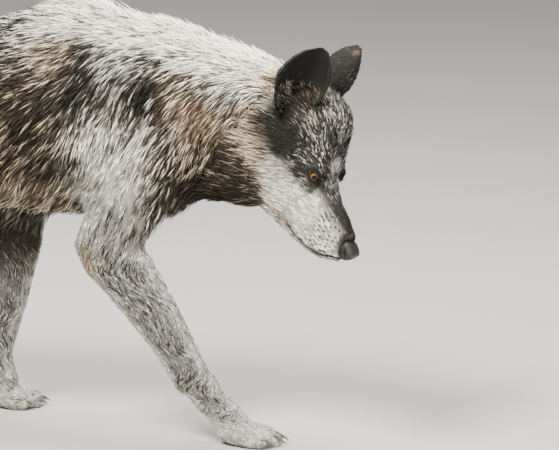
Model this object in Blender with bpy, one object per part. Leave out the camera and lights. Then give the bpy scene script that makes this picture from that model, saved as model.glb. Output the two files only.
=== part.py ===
"""A grey wolf at life size, standing with its right foreleg reaching and its head lowered and turned.

Metres, +Z up, +X towards the wolf's front, +Y to its left.
The body is drafted with X = 0 below the withers. The whole figure is moved at the end, so that the origin
lies under the middle of its bounding box, on the level of the soles.
The solids follow the outside of the coat. The flesh is modelled in one piece from tubes and muscle masses,
then parted with thin cuts into head, neck, trunk, tail and legs.
"""

import math

import bmesh
import bpy
import numpy as np
from mathutils import Matrix, Vector

# ---------------------------------------------------------------- driving sizes
CUT = 0.0004  # width of the thin cuts between parts
SLIVER = 0.00002  # edges shorter than this are closed up
GAP = 0.0004  # clearance round eyes, nose, ears and claws
VOXEL = 0.0042  # grain of the one-piece flesh before it is thinned
FLESH_TRIANGLES = 4250

# Trunk outline: (x, height of the back, height of the belly, half width)
TRUNK = (
    (0.175, 0.585, 0.405, 0.056),
    (0.130, 0.640, 0.358, 0.082),
    (0.060, 0.672, 0.340, 0.100),
    (-0.020, 0.682, 0.336, 0.112),
    (-0.120, 0.658, 0.345, 0.121),
    (-0.230, 0.643, 0.366, 0.121),
    (-0.330, 0.640, 0.398, 0.110),
    (-0.430, 0.646, 0.428, 0.100),
    (-0.520, 0.642, 0.445, 0.094),
    (-0.585, 0.612, 0.475, 0.074),
    (-0.615, 0.575, 0.510, 0.046),
)
# Neck: (x, y, z, half width, half depth), bending to the right as it nears the head
NECK = (
    (0.000, 0.000, 0.525, 0.080, 0.120),
    (0.110, 0.000, 0.508, 0.090, 0.150),
    (0.200, -0.018, 0.500, 0.088, 0.136),
    (0.270, -0.046, 0.494, 0.090, 0.124),
    (0.325, -0.074, 0.488, 0.086, 0.108),
    (0.365, -0.092, 0.480, 0.068, 0.085),
)
# Tail, hanging clear of the hind legs: (x, y, z, half width, half depth)
TAIL = (
    (-0.530, 0.000, 0.594, 0.036, 0.036),
    (-0.605, -0.002, 0.586, 0.038, 0.038),
    (-0.672, -0.008, 0.540, 0.041, 0.042),
    (-0.708, -0.018, 0.440, 0.045, 0.046),
    (-0.732, -0.030, 0.340, 0.044, 0.046),
    (-0.748, -0.040, 0.250, 0.033, 0.035),
    (-0.758, -0.046, 0.190, 0.014, 0.015),
    (-0.760, -0.048, 0.170, 0.004, 0.004),
)

# Leg bones, and where each leg's ends are in this pose
HUMERUS, RADIUS = 0.200, 0.236
FEMUR, TIBIA = 0.222, 0.232
FORELEGS = {  # shoulder joint, wrist, knuckles, toe tips
    "right": ((0.150, -0.062, 0.478), (0.182, -0.078, 0.112), (0.243, -0.080, 0.036), (0.330, -0.084)),
    "left": ((0.016, 0.062, 0.468), (-0.170, 0.076, 0.106), (-0.168, 0.076, 0.036), (-0.096, 0.078)),
}
HIND_LEGS = {  # hip joint, hock, knuckles, toe tips
    "right": ((-0.495, -0.058, 0.520), (-0.462, -0.078, 0.170), (-0.415, -0.078, 0.036), (-0.338, -0.082)),
    "left": ((-0.495, 0.058, 0.520), (-0.702, 0.076, 0.182), (-0.690, 0.076, 0.036), (-0.612, 0.080)),
}

# Head: its own frame has x towards the nose, y to the left, z up, and its origin midway between the eyes
HEAD_PLACE = Vector((0.4056, -0.110, 0.4377))
HEAD_TURN, HEAD_DROP, HEAD_TILT = -30.8, 44.7, -10.4  # degrees: to the right, nose down, left ear down
HEAD = (  # (x, top, upper edge y and z, widest y and z, lower edge y and z, bottom)
    (-0.165, 0.048, 0.050, 0.032, 0.080, -0.034, 0.064, -0.096, -0.118),
    (-0.130, 0.070, 0.054, 0.050, 0.085, -0.034, 0.068, -0.100, -0.124),
    (-0.098, 0.086, 0.057, 0.063, 0.085, -0.034, 0.074, -0.104, -0.126),
    (-0.068, 0.088, 0.055, 0.069, 0.079, -0.032, 0.067, -0.104, -0.125),
    (-0.042, 0.077, 0.047, 0.062, 0.067, -0.026, 0.053, -0.102, -0.122),
    (-0.022, 0.054, 0.037, 0.047, 0.054, -0.026, 0.045, -0.099, -0.118),
    (-0.002, 0.026, 0.026, 0.025, 0.043, -0.028, 0.038, -0.095, -0.114),
    (0.015, 0.009, 0.018, 0.008, 0.035, -0.033, 0.033, -0.092, -0.111),
    (0.032, 0.000, 0.014, -0.003, 0.032, -0.040, 0.030, -0.089, -0.108),
    (0.052, -0.005, 0.012, -0.009, 0.028, -0.044, 0.027, -0.085, -0.104),
    (0.074, -0.009, 0.012, -0.013, 0.026, -0.046, 0.024, -0.079, -0.097),
    (0.095, -0.015, 0.012, -0.019, 0.024, -0.046, 0.021, -0.070, -0.086),
    (0.108, -0.021, 0.012, -0.025, 0.021, -0.046, 0.017, -0.063, -0.076),
    (0.117, -0.030, 0.009, -0.033, 0.014, -0.046, 0.012, -0.058, -0.066),
)
EYE_PLACE, EYE_RADIUS = Vector((-0.002, 0.0300, 0.002)), 0.0118
NOSE_PLACE, NOSE_RADII = Vector((0.1155, 0.0, -0.0385)), (0.0120, 0.0180, 0.0130)
NOSE_TILT, NOSE_SQUARENESS = 18, 2.7
MOUTH = (  # (x, z) of the line between the jaws, on from the corner of the mouth to the throat
    (0.160, -0.056),
    (0.118, -0.061),
    (0.102, -0.074),
    (0.078, -0.087),
    (0.055, -0.094),
    (0.040, -0.091),
    (0.024, -0.086),
    (0.000, -0.102),
    (-0.030, -0.150),
)
EAR_DEPTH, EAR_WALL = 0.034, 0.0045
EAR_START = -0.18  # the ear goes on into the head by this share of its height
EAR_SHAPE = (  # share of the height, share of the full width there
    (-0.18, 0.26),
    (0.00, 0.58),
    (0.16, 0.86),
    (0.34, 1.00),
    (0.58, 0.92),
    (0.78, 0.72),
    (0.92, 0.46),
    (1.00, 0.20),
)
EARS = {  # middle of the base, tip, direction of the opening, width
    "right": ((-0.108, -0.055, 0.047), (-0.132, -0.039, 0.141), (0.52, -0.83, 0.20), 0.082),
    "left": ((-0.126, 0.042, 0.052), (-0.140, 0.066, 0.137), (0.14, 0.96, -0.04), 0.064),
}

PAW_WIDTH, TOE_WIDTH, TOE_HEIGHT = 0.078, 0.024, 0.030
CLAW_LENGTH, CLAW_THICKNESS = 0.020, 0.0075

ELBOW_CUT = {"right": 0.312, "left": 0.316}  # height of the cut just under the chest
THIGH_CUT = {"right": (-0.470, -0.0705, 0.412), "left": (-0.490, 0.0705, 0.412)}

COLOURS = {  # linear base colour, roughness
    "coat": ((0.42, 0.40, 0.37), 0.85),
    "ear": ((0.10, 0.09, 0.08), 0.85),
    "eye": ((0.50, 0.20, 0.03), 0.10),
    "nose": ((0.02, 0.02, 0.02), 0.35),
    "claw": ((0.06, 0.05, 0.04), 0.40),
}


# ---------------------------------------------------------------- tools
def clear_scene():
    for item in list(bpy.data.objects):
        bpy.data.objects.remove(item)


def material(name):
    colour, roughness = COLOURS[name]
    made = bpy.data.materials.get(name) or bpy.data.materials.new(name)
    made.use_nodes = True
    shader = made.node_tree.nodes["Principled BSDF"]
    shader.inputs["Base Color"].default_value = (*colour, 1.0)
    shader.inputs["Roughness"].default_value = roughness
    shader.inputs["Metallic"].default_value = 0.0
    return made


def add_object(name, bm, finish="coat"):
    """Puts a bmesh in the scene as an object, with its faces turned outwards."""
    bmesh.ops.recalc_face_normals(bm, faces=bm.faces)
    if bm.calc_volume(signed=True) < 0:
        bmesh.ops.reverse_faces(bm, faces=bm.faces)
    mesh = bpy.data.meshes.new(name)
    bm.to_mesh(mesh)
    bm.free()
    made = bpy.data.objects.new(name, mesh)
    bpy.context.scene.collection.objects.link(made)
    mesh.materials.append(material(finish))
    return made


def bake_modifiers(item):
    """Replaces an object's mesh by what its modifiers make of it."""
    bpy.context.view_layer.update()
    graph = bpy.context.evaluated_depsgraph_get()
    mesh = bpy.data.meshes.new_from_object(item.evaluated_get(graph))
    item.modifiers.clear()
    item.data = mesh


def between(a, b, c, d, steps):
    """Points from b up to c on a smooth curve through all four (Catmull-Rom)."""
    made = []
    for step in range(steps):
        t = step / steps
        bend = (2 * a - 5 * b + 4 * c - d) * t**2 + (3 * b - a - 3 * c + d) * t**3
        made.append(b + 0.5 * ((c - a) * t + bend))
    return made


def spline(rows, per_gap):
    """A smooth row of stations through the given ones, with per_gap steps between each two."""
    rows = [np.array(row, float) for row in rows]
    rows = [2 * rows[0] - rows[1], *rows, 2 * rows[-1] - rows[-2]]
    made = []
    for a, b, c, d in zip(rows, rows[1:], rows[2:], rows[3:]):
        made += between(a, b, c, d, per_gap)
    return [*made, rows[-2]]


def ring(bm, centre, across, upwards, width, depth, narrowing=0.0, sides=24):
    """One closed ring of points: an ellipse whose upper side is narrower by `narrowing`."""
    made = []
    for k in range(sides):
        turn = 2 * math.pi * k / sides
        rise = math.sin(turn)
        reach = width * math.cos(turn) * (1 - narrowing * rise)
        made.append(bm.verts.new(centre + across * reach + upwards * depth * rise))
    return made


def skin_rings(bm, rings):
    """Bridges a row of rings into a closed tube with rounded-off flat ends."""
    for a, b in zip(rings, rings[1:]):
        for k in range(len(a)):
            j = (k + 1) % len(a)
            bm.faces.new((a[k], a[j], b[j], b[k]))
    for end in (rings[0], rings[-1]):
        middle = bm.verts.new(sum((v.co for v in end), Vector()) / len(end))
        for k in range(len(end)):
            bm.faces.new((end[k], end[(k + 1) % len(end)], middle))


def tube(name, stations, side=Vector((0, 1, 0)), place=Matrix.Identity(4)):
    """A tube through (x, y, z, half width, half depth) stations. `side` is the way its width lies."""
    bm = bmesh.new()
    rows = spline(stations, 5)
    points = [Vector(row[:3]) for row in rows]
    rings = []
    for k, row in enumerate(rows):
        along = (points[min(k + 1, len(points) - 1)] - points[max(k - 1, 0)]).normalized()
        across = (side - along * side.dot(along)).normalized()
        rings.append(ring(bm, points[k], across, along.cross(across), row[3], row[4]))
    skin_rings(bm, rings)
    bm.transform(place)
    return add_object(name, bm)


def outline_tube(name, stations, narrowing):
    """A tube along x from (x, top, bottom, half width) stations, slimmer above than below."""
    bm = bmesh.new()
    rings = []
    for x, top, bottom, width in spline(stations, 5):
        middle = Vector((x, 0, (top + bottom) / 2))
        depth = (top - bottom) / 2
        rings.append(ring(bm, middle, Vector((0, 1, 0)), Vector((0, 0, 1)), width, depth, narrowing))
    skin_rings(bm, rings)
    return add_object(name, bm)


def closed_curve(corners, per_corner):
    """A smooth closed curve through the corners."""
    corners = [np.array(corner, float) for corner in corners]
    count = len(corners)
    made = []
    for k in range(count):
        a, b, c, d = (corners[(k + step) % count] for step in (-1, 0, 1, 2))
        made += between(a, b, c, d, per_corner)
    return made


def skull_tube(name, stations, place):
    """The head's tube: each cross-section is a closed curve through its top, edges, sides and bottom."""
    bm = bmesh.new()
    rings = []
    for x, top, upper_y, upper_z, wide_y, wide_z, lower_y, lower_z, bottom in spline(stations, 4):
        half = [(upper_y, upper_z), (wide_y, wide_z), (lower_y, lower_z)]
        corners = [(0.0, top), *half, (0.0, bottom), *((-y, z) for y, z in reversed(half))]
        rings.append([bm.verts.new((x, y, z)) for y, z in closed_curve(corners, 4)])
    skin_rings(bm, rings)
    bm.transform(place)
    return add_object(name, bm)


def mass(name, centre, radii, turn=(0, 0, 0), place=Matrix.Identity(4), segments=20, squareness=2.0):
    """A muscle, pad or toe: an ellipsoid with radii along its own axes, turned by degrees about X, Y and Z.

    A squareness of 2 is a plain ellipsoid, and more than that gives it blunter sides.
    """
    bm = bmesh.new()
    bmesh.ops.create_uvsphere(bm, u_segments=segments, v_segments=segments * 3 // 5, radius=1.0)
    for vertex in bm.verts:
        vertex.co /= sum(abs(step) ** squareness for step in vertex.co) ** (1 / squareness)
    spin = Matrix.Identity(4)
    for axis, angle in zip("XYZ", turn):
        spin = Matrix.Rotation(math.radians(angle), 4, axis) @ spin
    bm.transform(place @ Matrix.Translation(Vector(centre)) @ spin @ Matrix.Diagonal((*radii, 1.0)))
    return add_object(name, bm)


def both_sides(name, centre, radii, turn, place):
    """The same mass on the left and on the right of the head."""
    x, y, z = centre
    roll, pitch, yaw = turn
    return [
        mass(name + "_left", (x, y, z), radii, (roll, pitch, yaw), place),
        mass(name + "_right", (x, -y, z), radii, (-roll, pitch, -yaw), place),
    ]


def bend_point(root, end, upper, lower, way):
    """The elbow or knee between two bones, bent to the side that `way` points to."""
    root, end = Vector(root), Vector(end)
    line = end - root
    reach = min(line.length, 0.999 * (upper + lower))
    along = line.normalized()
    share = (upper**2 - lower**2 + reach**2) / (2 * reach)
    out = (Vector(way) - along * Vector(way).dot(along)).normalized()
    return root + along * share + out * math.sqrt(max(upper**2 - share**2, 0.0))


def boolean(target, other, operation="DIFFERENCE"):
    cut = target.modifiers.new(operation.lower(), "BOOLEAN")
    cut.operation = operation
    cut.solver = "EXACT"
    cut.object = other
    bake_modifiers(target)
    tidy_mesh(target)


def tidy_mesh(item):
    """Closes up slivers and leaves plain triangles."""
    bm = bmesh.new()
    bm.from_mesh(item.data)
    bmesh.ops.remove_doubles(bm, verts=bm.verts, dist=SLIVER)
    bmesh.ops.dissolve_degenerate(bm, edges=bm.edges, dist=SLIVER)
    bmesh.ops.triangulate(bm, faces=bm.faces)
    bm.to_mesh(item.data)
    bm.free()


def grown(source, by):
    """A copy of an object whose surface lies further out, to cut its neighbour with."""
    copy = bpy.data.objects.new(source.name + "_grown", source.data.copy())
    bpy.context.scene.collection.objects.link(copy)
    bm = bmesh.new()
    bm.from_mesh(copy.data)
    bm.normal_update()
    places = [v.co + v.normal * by for v in bm.verts]
    for v, place in zip(bm.verts, places):
        v.co = place
    bm.to_mesh(copy.data)
    bm.free()
    return copy


def remove(*items):
    for item in items:
        bpy.data.objects.remove(item)


# ---------------------------------------------------------------- the head's own frame
def head_frame():
    turn = Matrix.Rotation(math.radians(HEAD_TURN), 4, "Z")
    drop = Matrix.Rotation(math.radians(HEAD_DROP), 4, "Y")
    tilt = Matrix.Rotation(math.radians(HEAD_TILT), 4, "X")
    return Matrix.Translation(HEAD_PLACE) @ turn @ drop @ tilt


# ---------------------------------------------------------------- masses of the flesh
def trunk_masses():
    return [
        outline_tube("barrel", TRUNK, 0.10),
        tube("neck_core", NECK),
        mass("forechest", (0.135, -0.010, 0.425), (0.076, 0.082, 0.096), (0, 20, 0)),
        mass("withers_crest", (0.010, 0.000, 0.600), (0.110, 0.050, 0.084), (0, 6, 0)),
        mass("throat_ruff", (0.262, -0.052, 0.432), (0.085, 0.066, 0.062), (0, 12, -24)),
        tube("tail_core", TAIL),
    ]


def foreleg_masses(side):
    shoulder, wrist, knuckles, toes = (Vector(p) if len(p) == 3 else p for p in FORELEGS[side])
    out = -1 if side == "right" else 1
    elbow = bend_point(shoulder, wrist, HUMERUS, RADIUS, (-1, 0.12 * out, -0.1))
    blade_top = Vector((0.2 * shoulder.x - 0.035, 0.052 * out, 0.615))
    blade = (blade_top + shoulder) / 2
    slope = math.degrees(math.atan2(blade_top.z - shoulder.z, shoulder.x - blade_top.x))
    arm_slope = math.degrees(math.atan2(shoulder.x - elbow.x, shoulder.z - elbow.z))
    lean = (wrist - elbow).normalized()
    ahead = Vector((-lean.z, 0, lean.x))
    arm = [
        (*(shoulder + Vector((0.0, -0.012 * out, 0.02))), 0.040, 0.062),
        (*(shoulder.lerp(elbow, 0.5)), 0.042, 0.066),
        (*(elbow + Vector((0.010, 0, 0.006))), 0.040, 0.058),
        (*(elbow.lerp(wrist, 0.28) + ahead * 0.005), 0.034, 0.048),
        (*(elbow.lerp(wrist, 0.65) + ahead * 0.005), 0.028, 0.039),
        (*(wrist - lean * 0.020), 0.026, 0.033),
        (*(wrist + lean * 0.012), 0.026, 0.030),
        (*(wrist.lerp(knuckles, 0.55)), 0.026, 0.026),
        (*(knuckles + Vector((0.010, 0, -0.004))), 0.031, 0.023),
    ]
    return [
        mass(f"blade_{side}", blade, (0.105, 0.040, 0.062), (0, slope, 0)),
        mass(f"arm_{side}", shoulder.lerp(elbow, 0.42), (0.060, 0.040, 0.105), (0, arm_slope, 0)),
        tube(f"foreleg_{side}", arm),
        mass(f"elbow_{side}", elbow + Vector((-0.026, 0, 0.004)), (0.024, 0.020, 0.027)),
        mass(f"wrist_pad_{side}", wrist - Vector((0.018, 0, 0.026)), (0.010, 0.011, 0.013)),
        *paw_masses(f"fore_{side}", knuckles, toes, 1.0),
    ]


def hind_leg_masses(side):
    hip, hock, knuckles, toes = (Vector(p) if len(p) == 3 else p for p in HIND_LEGS[side])
    out = -1 if side == "right" else 1
    knee = bend_point(hip, hock, FEMUR, TIBIA, (1, 0.10 * out, 0))
    leg = [
        (*(hip + Vector((0.0, -0.010 * out, 0.02))), 0.040, 0.095),
        (*(hip.lerp(knee, 0.5) + Vector((-0.018, 0, 0))), 0.046, 0.090),
        (*(knee + Vector((-0.022, 0, 0.006))), 0.044, 0.066),
        (*(knee.lerp(hock, 0.45) + Vector((-0.004, 0, 0))), 0.034, 0.047),
        (*(knee.lerp(hock, 0.82)), 0.026, 0.034),
        (*hock, 0.025, 0.034),
        (*(hock.lerp(knuckles, 0.35)), 0.023, 0.028),
        (*(hock.lerp(knuckles, 0.75)), 0.023, 0.025),
        (*(knuckles + Vector((0.008, 0, -0.004))), 0.029, 0.022),
    ]
    haunch = hip.lerp(knee, 0.35) + Vector((-0.020, 0, 0))
    croup = hip + Vector((0.015, -0.016 * out, 0.052))
    return [
        mass(f"haunch_{side}", haunch, (0.095, 0.052, 0.130), (0, -25, 0)),
        mass(f"croup_{side}", croup, (0.100, 0.046, 0.062), (0, 8, 0)),
        tube(f"hind_leg_{side}", leg),
        mass(f"heel_{side}", hock + Vector((-0.016, 0, 0.020)), (0.014, 0.013, 0.028), (0, 12, 0)),
        *paw_masses(f"hind_{side}", knuckles, toes, 0.92),
    ]


def toe_places(knuckles, toes, size):
    """Middle of each toe's end, from the inner to the outer, and the way the paw points."""
    tip = Vector((toes[0], toes[1], 0))
    start = Vector((knuckles.x, knuckles.y, 0))
    along = (tip - start).normalized()
    across = Vector((-along.y, along.x, 0))
    length = (tip - start).length
    spread = PAW_WIDTH * size - TOE_WIDTH
    made = []
    for share, back in ((-0.5, 0.036), (-0.17, 0.020), (0.17, 0.020), (0.5, 0.036)):
        made.append(start + along * (length - back) + across * share * spread)
    return made, along, across


def paw_masses(name, knuckles, toes, size):
    places, along, _ = toe_places(knuckles, toes, size)
    yaw = math.degrees(math.atan2(along.y, along.x))
    made = []
    for k, place in enumerate(places):
        outer = k in (0, 3)
        splay = (k - 1.5) * 5
        radii = (0.030 * size, TOE_WIDTH / 2 + 0.0008, TOE_HEIGHT / 2 + (0.0 if outer else 0.001))
        middle = place + Vector((0, 0, 0.0125)) - along * 0.006
        made.append(mass(f"{name}_toe_{k}", middle, radii, (0, 8, yaw + splay)))
    back = sum(places, Vector()) / 4 - along * 0.040 * size
    palm = (0.036 * size, PAW_WIDTH * 0.44 * size, 0.020)
    knuckle = (0.034 * size, PAW_WIDTH * 0.38 * size, 0.018)
    made.append(mass(f"{name}_palm", back + Vector((0, 0, 0.016)), palm, (0, 10, yaw)))
    made.append(mass(f"{name}_knuckle", back + Vector((0, 0, 0.028)), knuckle, (0, 28, yaw)))
    return made


def head_masses(place):
    made = [skull_tube("skull", HEAD, place)]
    made += both_sides("brow", (-0.014, 0.026, 0.022), (0.022, 0.013, 0.010), (-30, 34, 14), place)
    made += both_sides("lip", (0.080, 0.0120, -0.052), (0.034, 0.0150, 0.022), (0, 4, -6), place)
    made += both_sides("ear_root", (-0.112, 0.049, 0.036), (0.028, 0.025, 0.018), (-24, 20, 0), place)
    made.append(mass("chin", (0.088, 0, -0.072), (0.022, 0.016, 0.014), (0, -12, 0), place))
    return made


# ---------------------------------------------------------------- one piece of flesh
def make_flesh(pieces):
    """Joins the masses into one closed body, rounds it off and thins it to few faces."""
    bm = bmesh.new()
    for item in pieces:
        bm.from_mesh(item.data)
    remove(*pieces)
    flesh = add_object("flesh", bm)
    grain = flesh.modifiers.new("grain", "REMESH")
    grain.mode = "VOXEL"
    grain.voxel_size = VOXEL
    grain.adaptivity = 0.0
    bake_modifiers(flesh)
    return flesh


def weights_by_place(flesh, name, measure):
    group = flesh.vertex_groups.new(name=name)
    for vertex in flesh.data.vertices:
        group.add([vertex.index], min(max(measure(vertex.co), 0.0), 1.0), "REPLACE")
    return group


def round_off(flesh, place):
    """Smooths the body a good deal, and the head and paws only a little."""
    to_head = place.inverted()

    def body_share(point):
        inside = to_head @ point
        from_head = (inside - Vector((0.0, 0.0, -0.03))).length - 0.105
        return min(from_head / 0.06, (point.z - 0.045) / 0.05)

    weights_by_place(flesh, "body", body_share)
    for name, group, repeats in (("fine", "", 7), ("broad", "body", 26)):
        smooth = flesh.modifiers.new(name, "SMOOTH")
        smooth.factor = 0.5
        smooth.iterations = repeats
        smooth.vertex_group = group
    bake_modifiers(flesh)


def thin_out(flesh):
    """Fewer faces, mostly on the broad smooth sides of the body."""
    triangles = sum(len(face.vertices) - 2 for face in flesh.data.polygons)
    thin = flesh.modifiers.new("thin", "DECIMATE")
    thin.ratio = FLESH_TRIANGLES / triangles
    bake_modifiers(flesh)


# ---------------------------------------------------------------- cutting it into parts
def cut_across(flesh, centre, facing, width, height, side=Vector((0, 1, 0))):
    """Parts the flesh by a thin flat gap, `width` wide along `side` and `height` the other way."""
    centre, facing = Vector(centre), Vector(facing).normalized()
    across = (side - facing * side.dot(facing)).normalized()
    other = facing.cross(across)

    def inside(face):
        step = face.calc_center_median() - centre
        return abs(step.dot(across)) < width / 2 and abs(step.dot(other)) < height / 2

    bm = bmesh.new()
    bm.from_mesh(flesh.data)
    for shift in (-CUT / 2, CUT / 2):
        faces = [face for face in bm.faces if inside(face)]
        touched = {part for face in faces for part in (*face.verts, *face.edges)}
        level = centre + facing * shift
        bmesh.ops.bisect_plane(bm, geom=[*faces, *touched], dist=1e-7, plane_co=level, plane_no=facing)
    band = [
        face
        for face in bm.faces
        if inside(face) and abs((face.calc_center_median() - centre).dot(facing)) < 0.499 * CUT
    ]
    bmesh.ops.delete(bm, geom=band, context="FACES")
    for sign in (-1, 1):
        rim = [e for e in bm.edges if e.is_boundary and (e.verts[0].co - centre).dot(facing) * sign > 0]
        bmesh.ops.triangle_fill(bm, edges=rim, use_beauty=True)
    bmesh.ops.triangulate(bm, faces=bm.faces)
    bmesh.ops.recalc_face_normals(bm, faces=bm.faces)
    bm.to_mesh(flesh.data)
    bm.free()


def mouth_sheet(place):
    """A thin bent sheet along the mouth line, right through the head."""
    path = [Vector((x, 0, z)) for x, z in spline(MOUTH, 3)]
    bm = bmesh.new()
    rings = []
    for k, point in enumerate(path):
        along = (path[min(k + 1, len(path) - 1)] - path[max(k - 1, 0)]).normalized()
        lift = Vector((-along.z, 0, along.x)) * CUT / 2
        wide = Vector((0, 0.12, 0))
        corners = (wide + lift, wide - lift, -wide - lift, -wide + lift)
        rings.append([bm.verts.new(point + corner) for corner in corners])
    for a, b in zip(rings, rings[1:]):
        for k in range(4):
            bm.faces.new((a[k], a[(k + 1) % 4], b[(k + 1) % 4], b[k]))
    bm.faces.new(rings[0])
    bm.faces.new(rings[-1])
    bm.transform(place)
    return bm


def ground_block():
    bm = bmesh.new()
    bmesh.ops.create_cube(bm, size=1.0)
    bm.transform(Matrix.Translation((-0.15, 0, -0.05)) @ Matrix.Diagonal((1.6, 0.8, 0.1, 1.0)))
    return bm


def cut_flesh(flesh, place):
    """All the cuts that part the flesh."""
    head_turn = place.to_3x3()
    sheet = add_object("mouth", mouth_sheet(place))
    boolean(flesh, sheet)
    remove(sheet)
    nape = place @ Vector((-0.128, 0, -0.030))
    cut_across(flesh, nape, head_turn @ Vector((1, 0, 0.16)), 0.40, 0.44, head_turn @ Vector((0, 1, 0)))
    cut_across(flesh, (0.112, -0.004, 0.500), (1, -0.10, 0.36), 0.40, 0.62)
    cut_across(flesh, (-0.616, 0, 0.575), (1, 0, -0.20), 0.16, 0.165)
    for side, out in (("right", -1), ("left", 1)):
        shoulder, wrist, knuckles, _ = FORELEGS[side]
        wrist = Vector(wrist)
        elbow = bend_point(shoulder, wrist, HUMERUS, RADIUS, (-1, 0.12 * out, -0.1))
        cut_across(flesh, (elbow.x + 0.02, elbow.y, ELBOW_CUT[side]), (0.22, 0, 1), 0.14, 0.24)
        cut_across(flesh, wrist.lerp(Vector(knuckles), 0.18), wrist - elbow, 0.11, 0.13)
        hock, knuckles = (Vector(p) for p in HIND_LEGS[side][1:3])
        cut_across(flesh, THIGH_CUT[side], (0.30, 0, 1), 0.14, 0.38)
        cut_across(flesh, hock.lerp(knuckles, 0.22), knuckles - hock, 0.11, 0.12)


def islands(item):
    """The separate bodies of an object's mesh, each as a list of vertex numbers."""
    near = [[] for _ in item.data.vertices]
    for edge in item.data.edges:
        a, b = edge.vertices
        near[a].append(b)
        near[b].append(a)
    seen = [False] * len(near)
    made = []
    for start in range(len(near)):
        if seen[start]:
            continue
        seen[start] = True
        found = [start]
        for number in found:
            for other in near[number]:
                if not seen[other]:
                    seen[other] = True
                    found.append(other)
        made.append(found)
    return made


def keep_largest(item):
    """Drops the loose crumbs that a cut left beside an object's main body."""
    bodies = sorted(islands(item), key=len)
    crumbs = {number for body in bodies[:-1] for number in body}
    bm = bmesh.new()
    bm.from_mesh(item.data)
    bm.verts.ensure_lookup_table()
    bmesh.ops.delete(bm, geom=[v for v in bm.verts if v.index in crumbs], context="VERTS")
    bm.to_mesh(item.data)
    bm.free()


def part_out(flesh, named_places):
    """Gives each body of the cut flesh the name whose place is nearest to its middle."""
    bodies = islands(flesh)
    middles = [sum((flesh.data.vertices[n].co for n in body), Vector()) / len(body) for body in bodies]
    for name, spot in named_places.items():
        number = min(range(len(bodies)), key=lambda k: (middles[k] - Vector(spot)).length)
        keep = set(bodies[number])
        bm = bmesh.new()
        bm.from_mesh(flesh.data)
        bm.verts.ensure_lookup_table()
        bmesh.ops.delete(bm, geom=[v for v in bm.verts if v.index not in keep], context="VERTS")
        bmesh.ops.triangulate(bm, faces=bm.faces)
        add_object(name, bm)
    remove(flesh)


def part_places(place):
    made = {
        "trunk": (-0.22, 0, 0.52),
        "neck": (0.24, -0.03, 0.49),
        "head": place @ Vector((-0.03, 0, -0.02)),
        "lower_jaw": place @ Vector((0.05, 0, -0.095)),
        "tail": (-0.71, -0.02, 0.40),
    }
    for side in ("right", "left"):
        shoulder, wrist, knuckles, _ = (Vector(p) if len(p) == 3 else p for p in FORELEGS[side])
        made["foreleg_" + side] = wrist.lerp(shoulder, 0.3)
        made["forefoot_" + side] = knuckles - Vector((0, 0, 0.01))
        hip, hock, knuckles, _ = (Vector(p) if len(p) == 3 else p for p in HIND_LEGS[side])
        made["hind_leg_" + side] = hock.lerp(hip, 0.4)
        made["hind_foot_" + side] = knuckles
    return made


# ---------------------------------------------------------------- separate parts
def eyes_and_nose(place):
    made = []
    for side, out in (("right", -1), ("left", 1)):
        eye = mass(f"eye_{side}", EYE_PLACE * Vector((1, out, 1)), (EYE_RADIUS,) * 3, (0, 90, 0), place, 14)
        eye.data.materials[0] = material("eye")
        made.append(eye)
    nose = mass("nose", NOSE_PLACE, NOSE_RADII, (0, NOSE_TILT, 0), place, 14, NOSE_SQUARENESS)
    nose.data.materials[0] = material("nose")
    return [*made, nose]


def claw(name, root, along, down, size=1.0):
    """A curved pointed claw starting inside the toe at `root`."""
    bm = bmesh.new()
    across = Vector((0, 0, 1)).cross(along).normalized()
    rings = []
    for share in (0.0, 0.45, 0.8):
        centre = root + along * CLAW_LENGTH * size * share - Vector((0, 0, 1)) * down * share**1.6
        thick = CLAW_THICKNESS * size * (1 - share * 0.8) / 2
        rings.append(ring(bm, centre, across, Vector((0, 0, 1)), thick * 0.8, thick, 0.0, 6))
    skin_rings(bm, rings)
    tip = root + along * CLAW_LENGTH * size - Vector((0, 0, 1)) * down
    bm.verts.ensure_lookup_table()
    bm.verts[-1].co = tip
    return add_object(name, bm, "claw")


def claws():
    made = []
    for leg, table, size in (("fore", FORELEGS, 1.0), ("hind", HIND_LEGS, 0.92)):
        for side, out in (("right", -1), ("left", 1)):
            places, along, across = toe_places(Vector(table[side][2]), table[side][3], size)
            for k, place in enumerate(places):
                number = k + 1 if side == "left" else 4 - k
                way = (along + across * (k - 1.5) * 0.08).normalized()
                root = place + way * 0.012 * size + Vector((0, 0, 0.016))
                made.append(claw(f"claw_{leg}_{side}_{number}", root, way, 0.010))
            if leg == "fore":
                wrist = Vector(table[side][1])
                root = wrist + Vector((0.006, -0.021 * out, -0.020))
                way = (along * 0.45 - Vector((0, 0, 0.55)) - Vector((0, 0.55 * out, 0))).normalized()
                made.append(claw(f"dewclaw_{side}", root, way, 0.002, 0.9))
    return made


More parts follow.
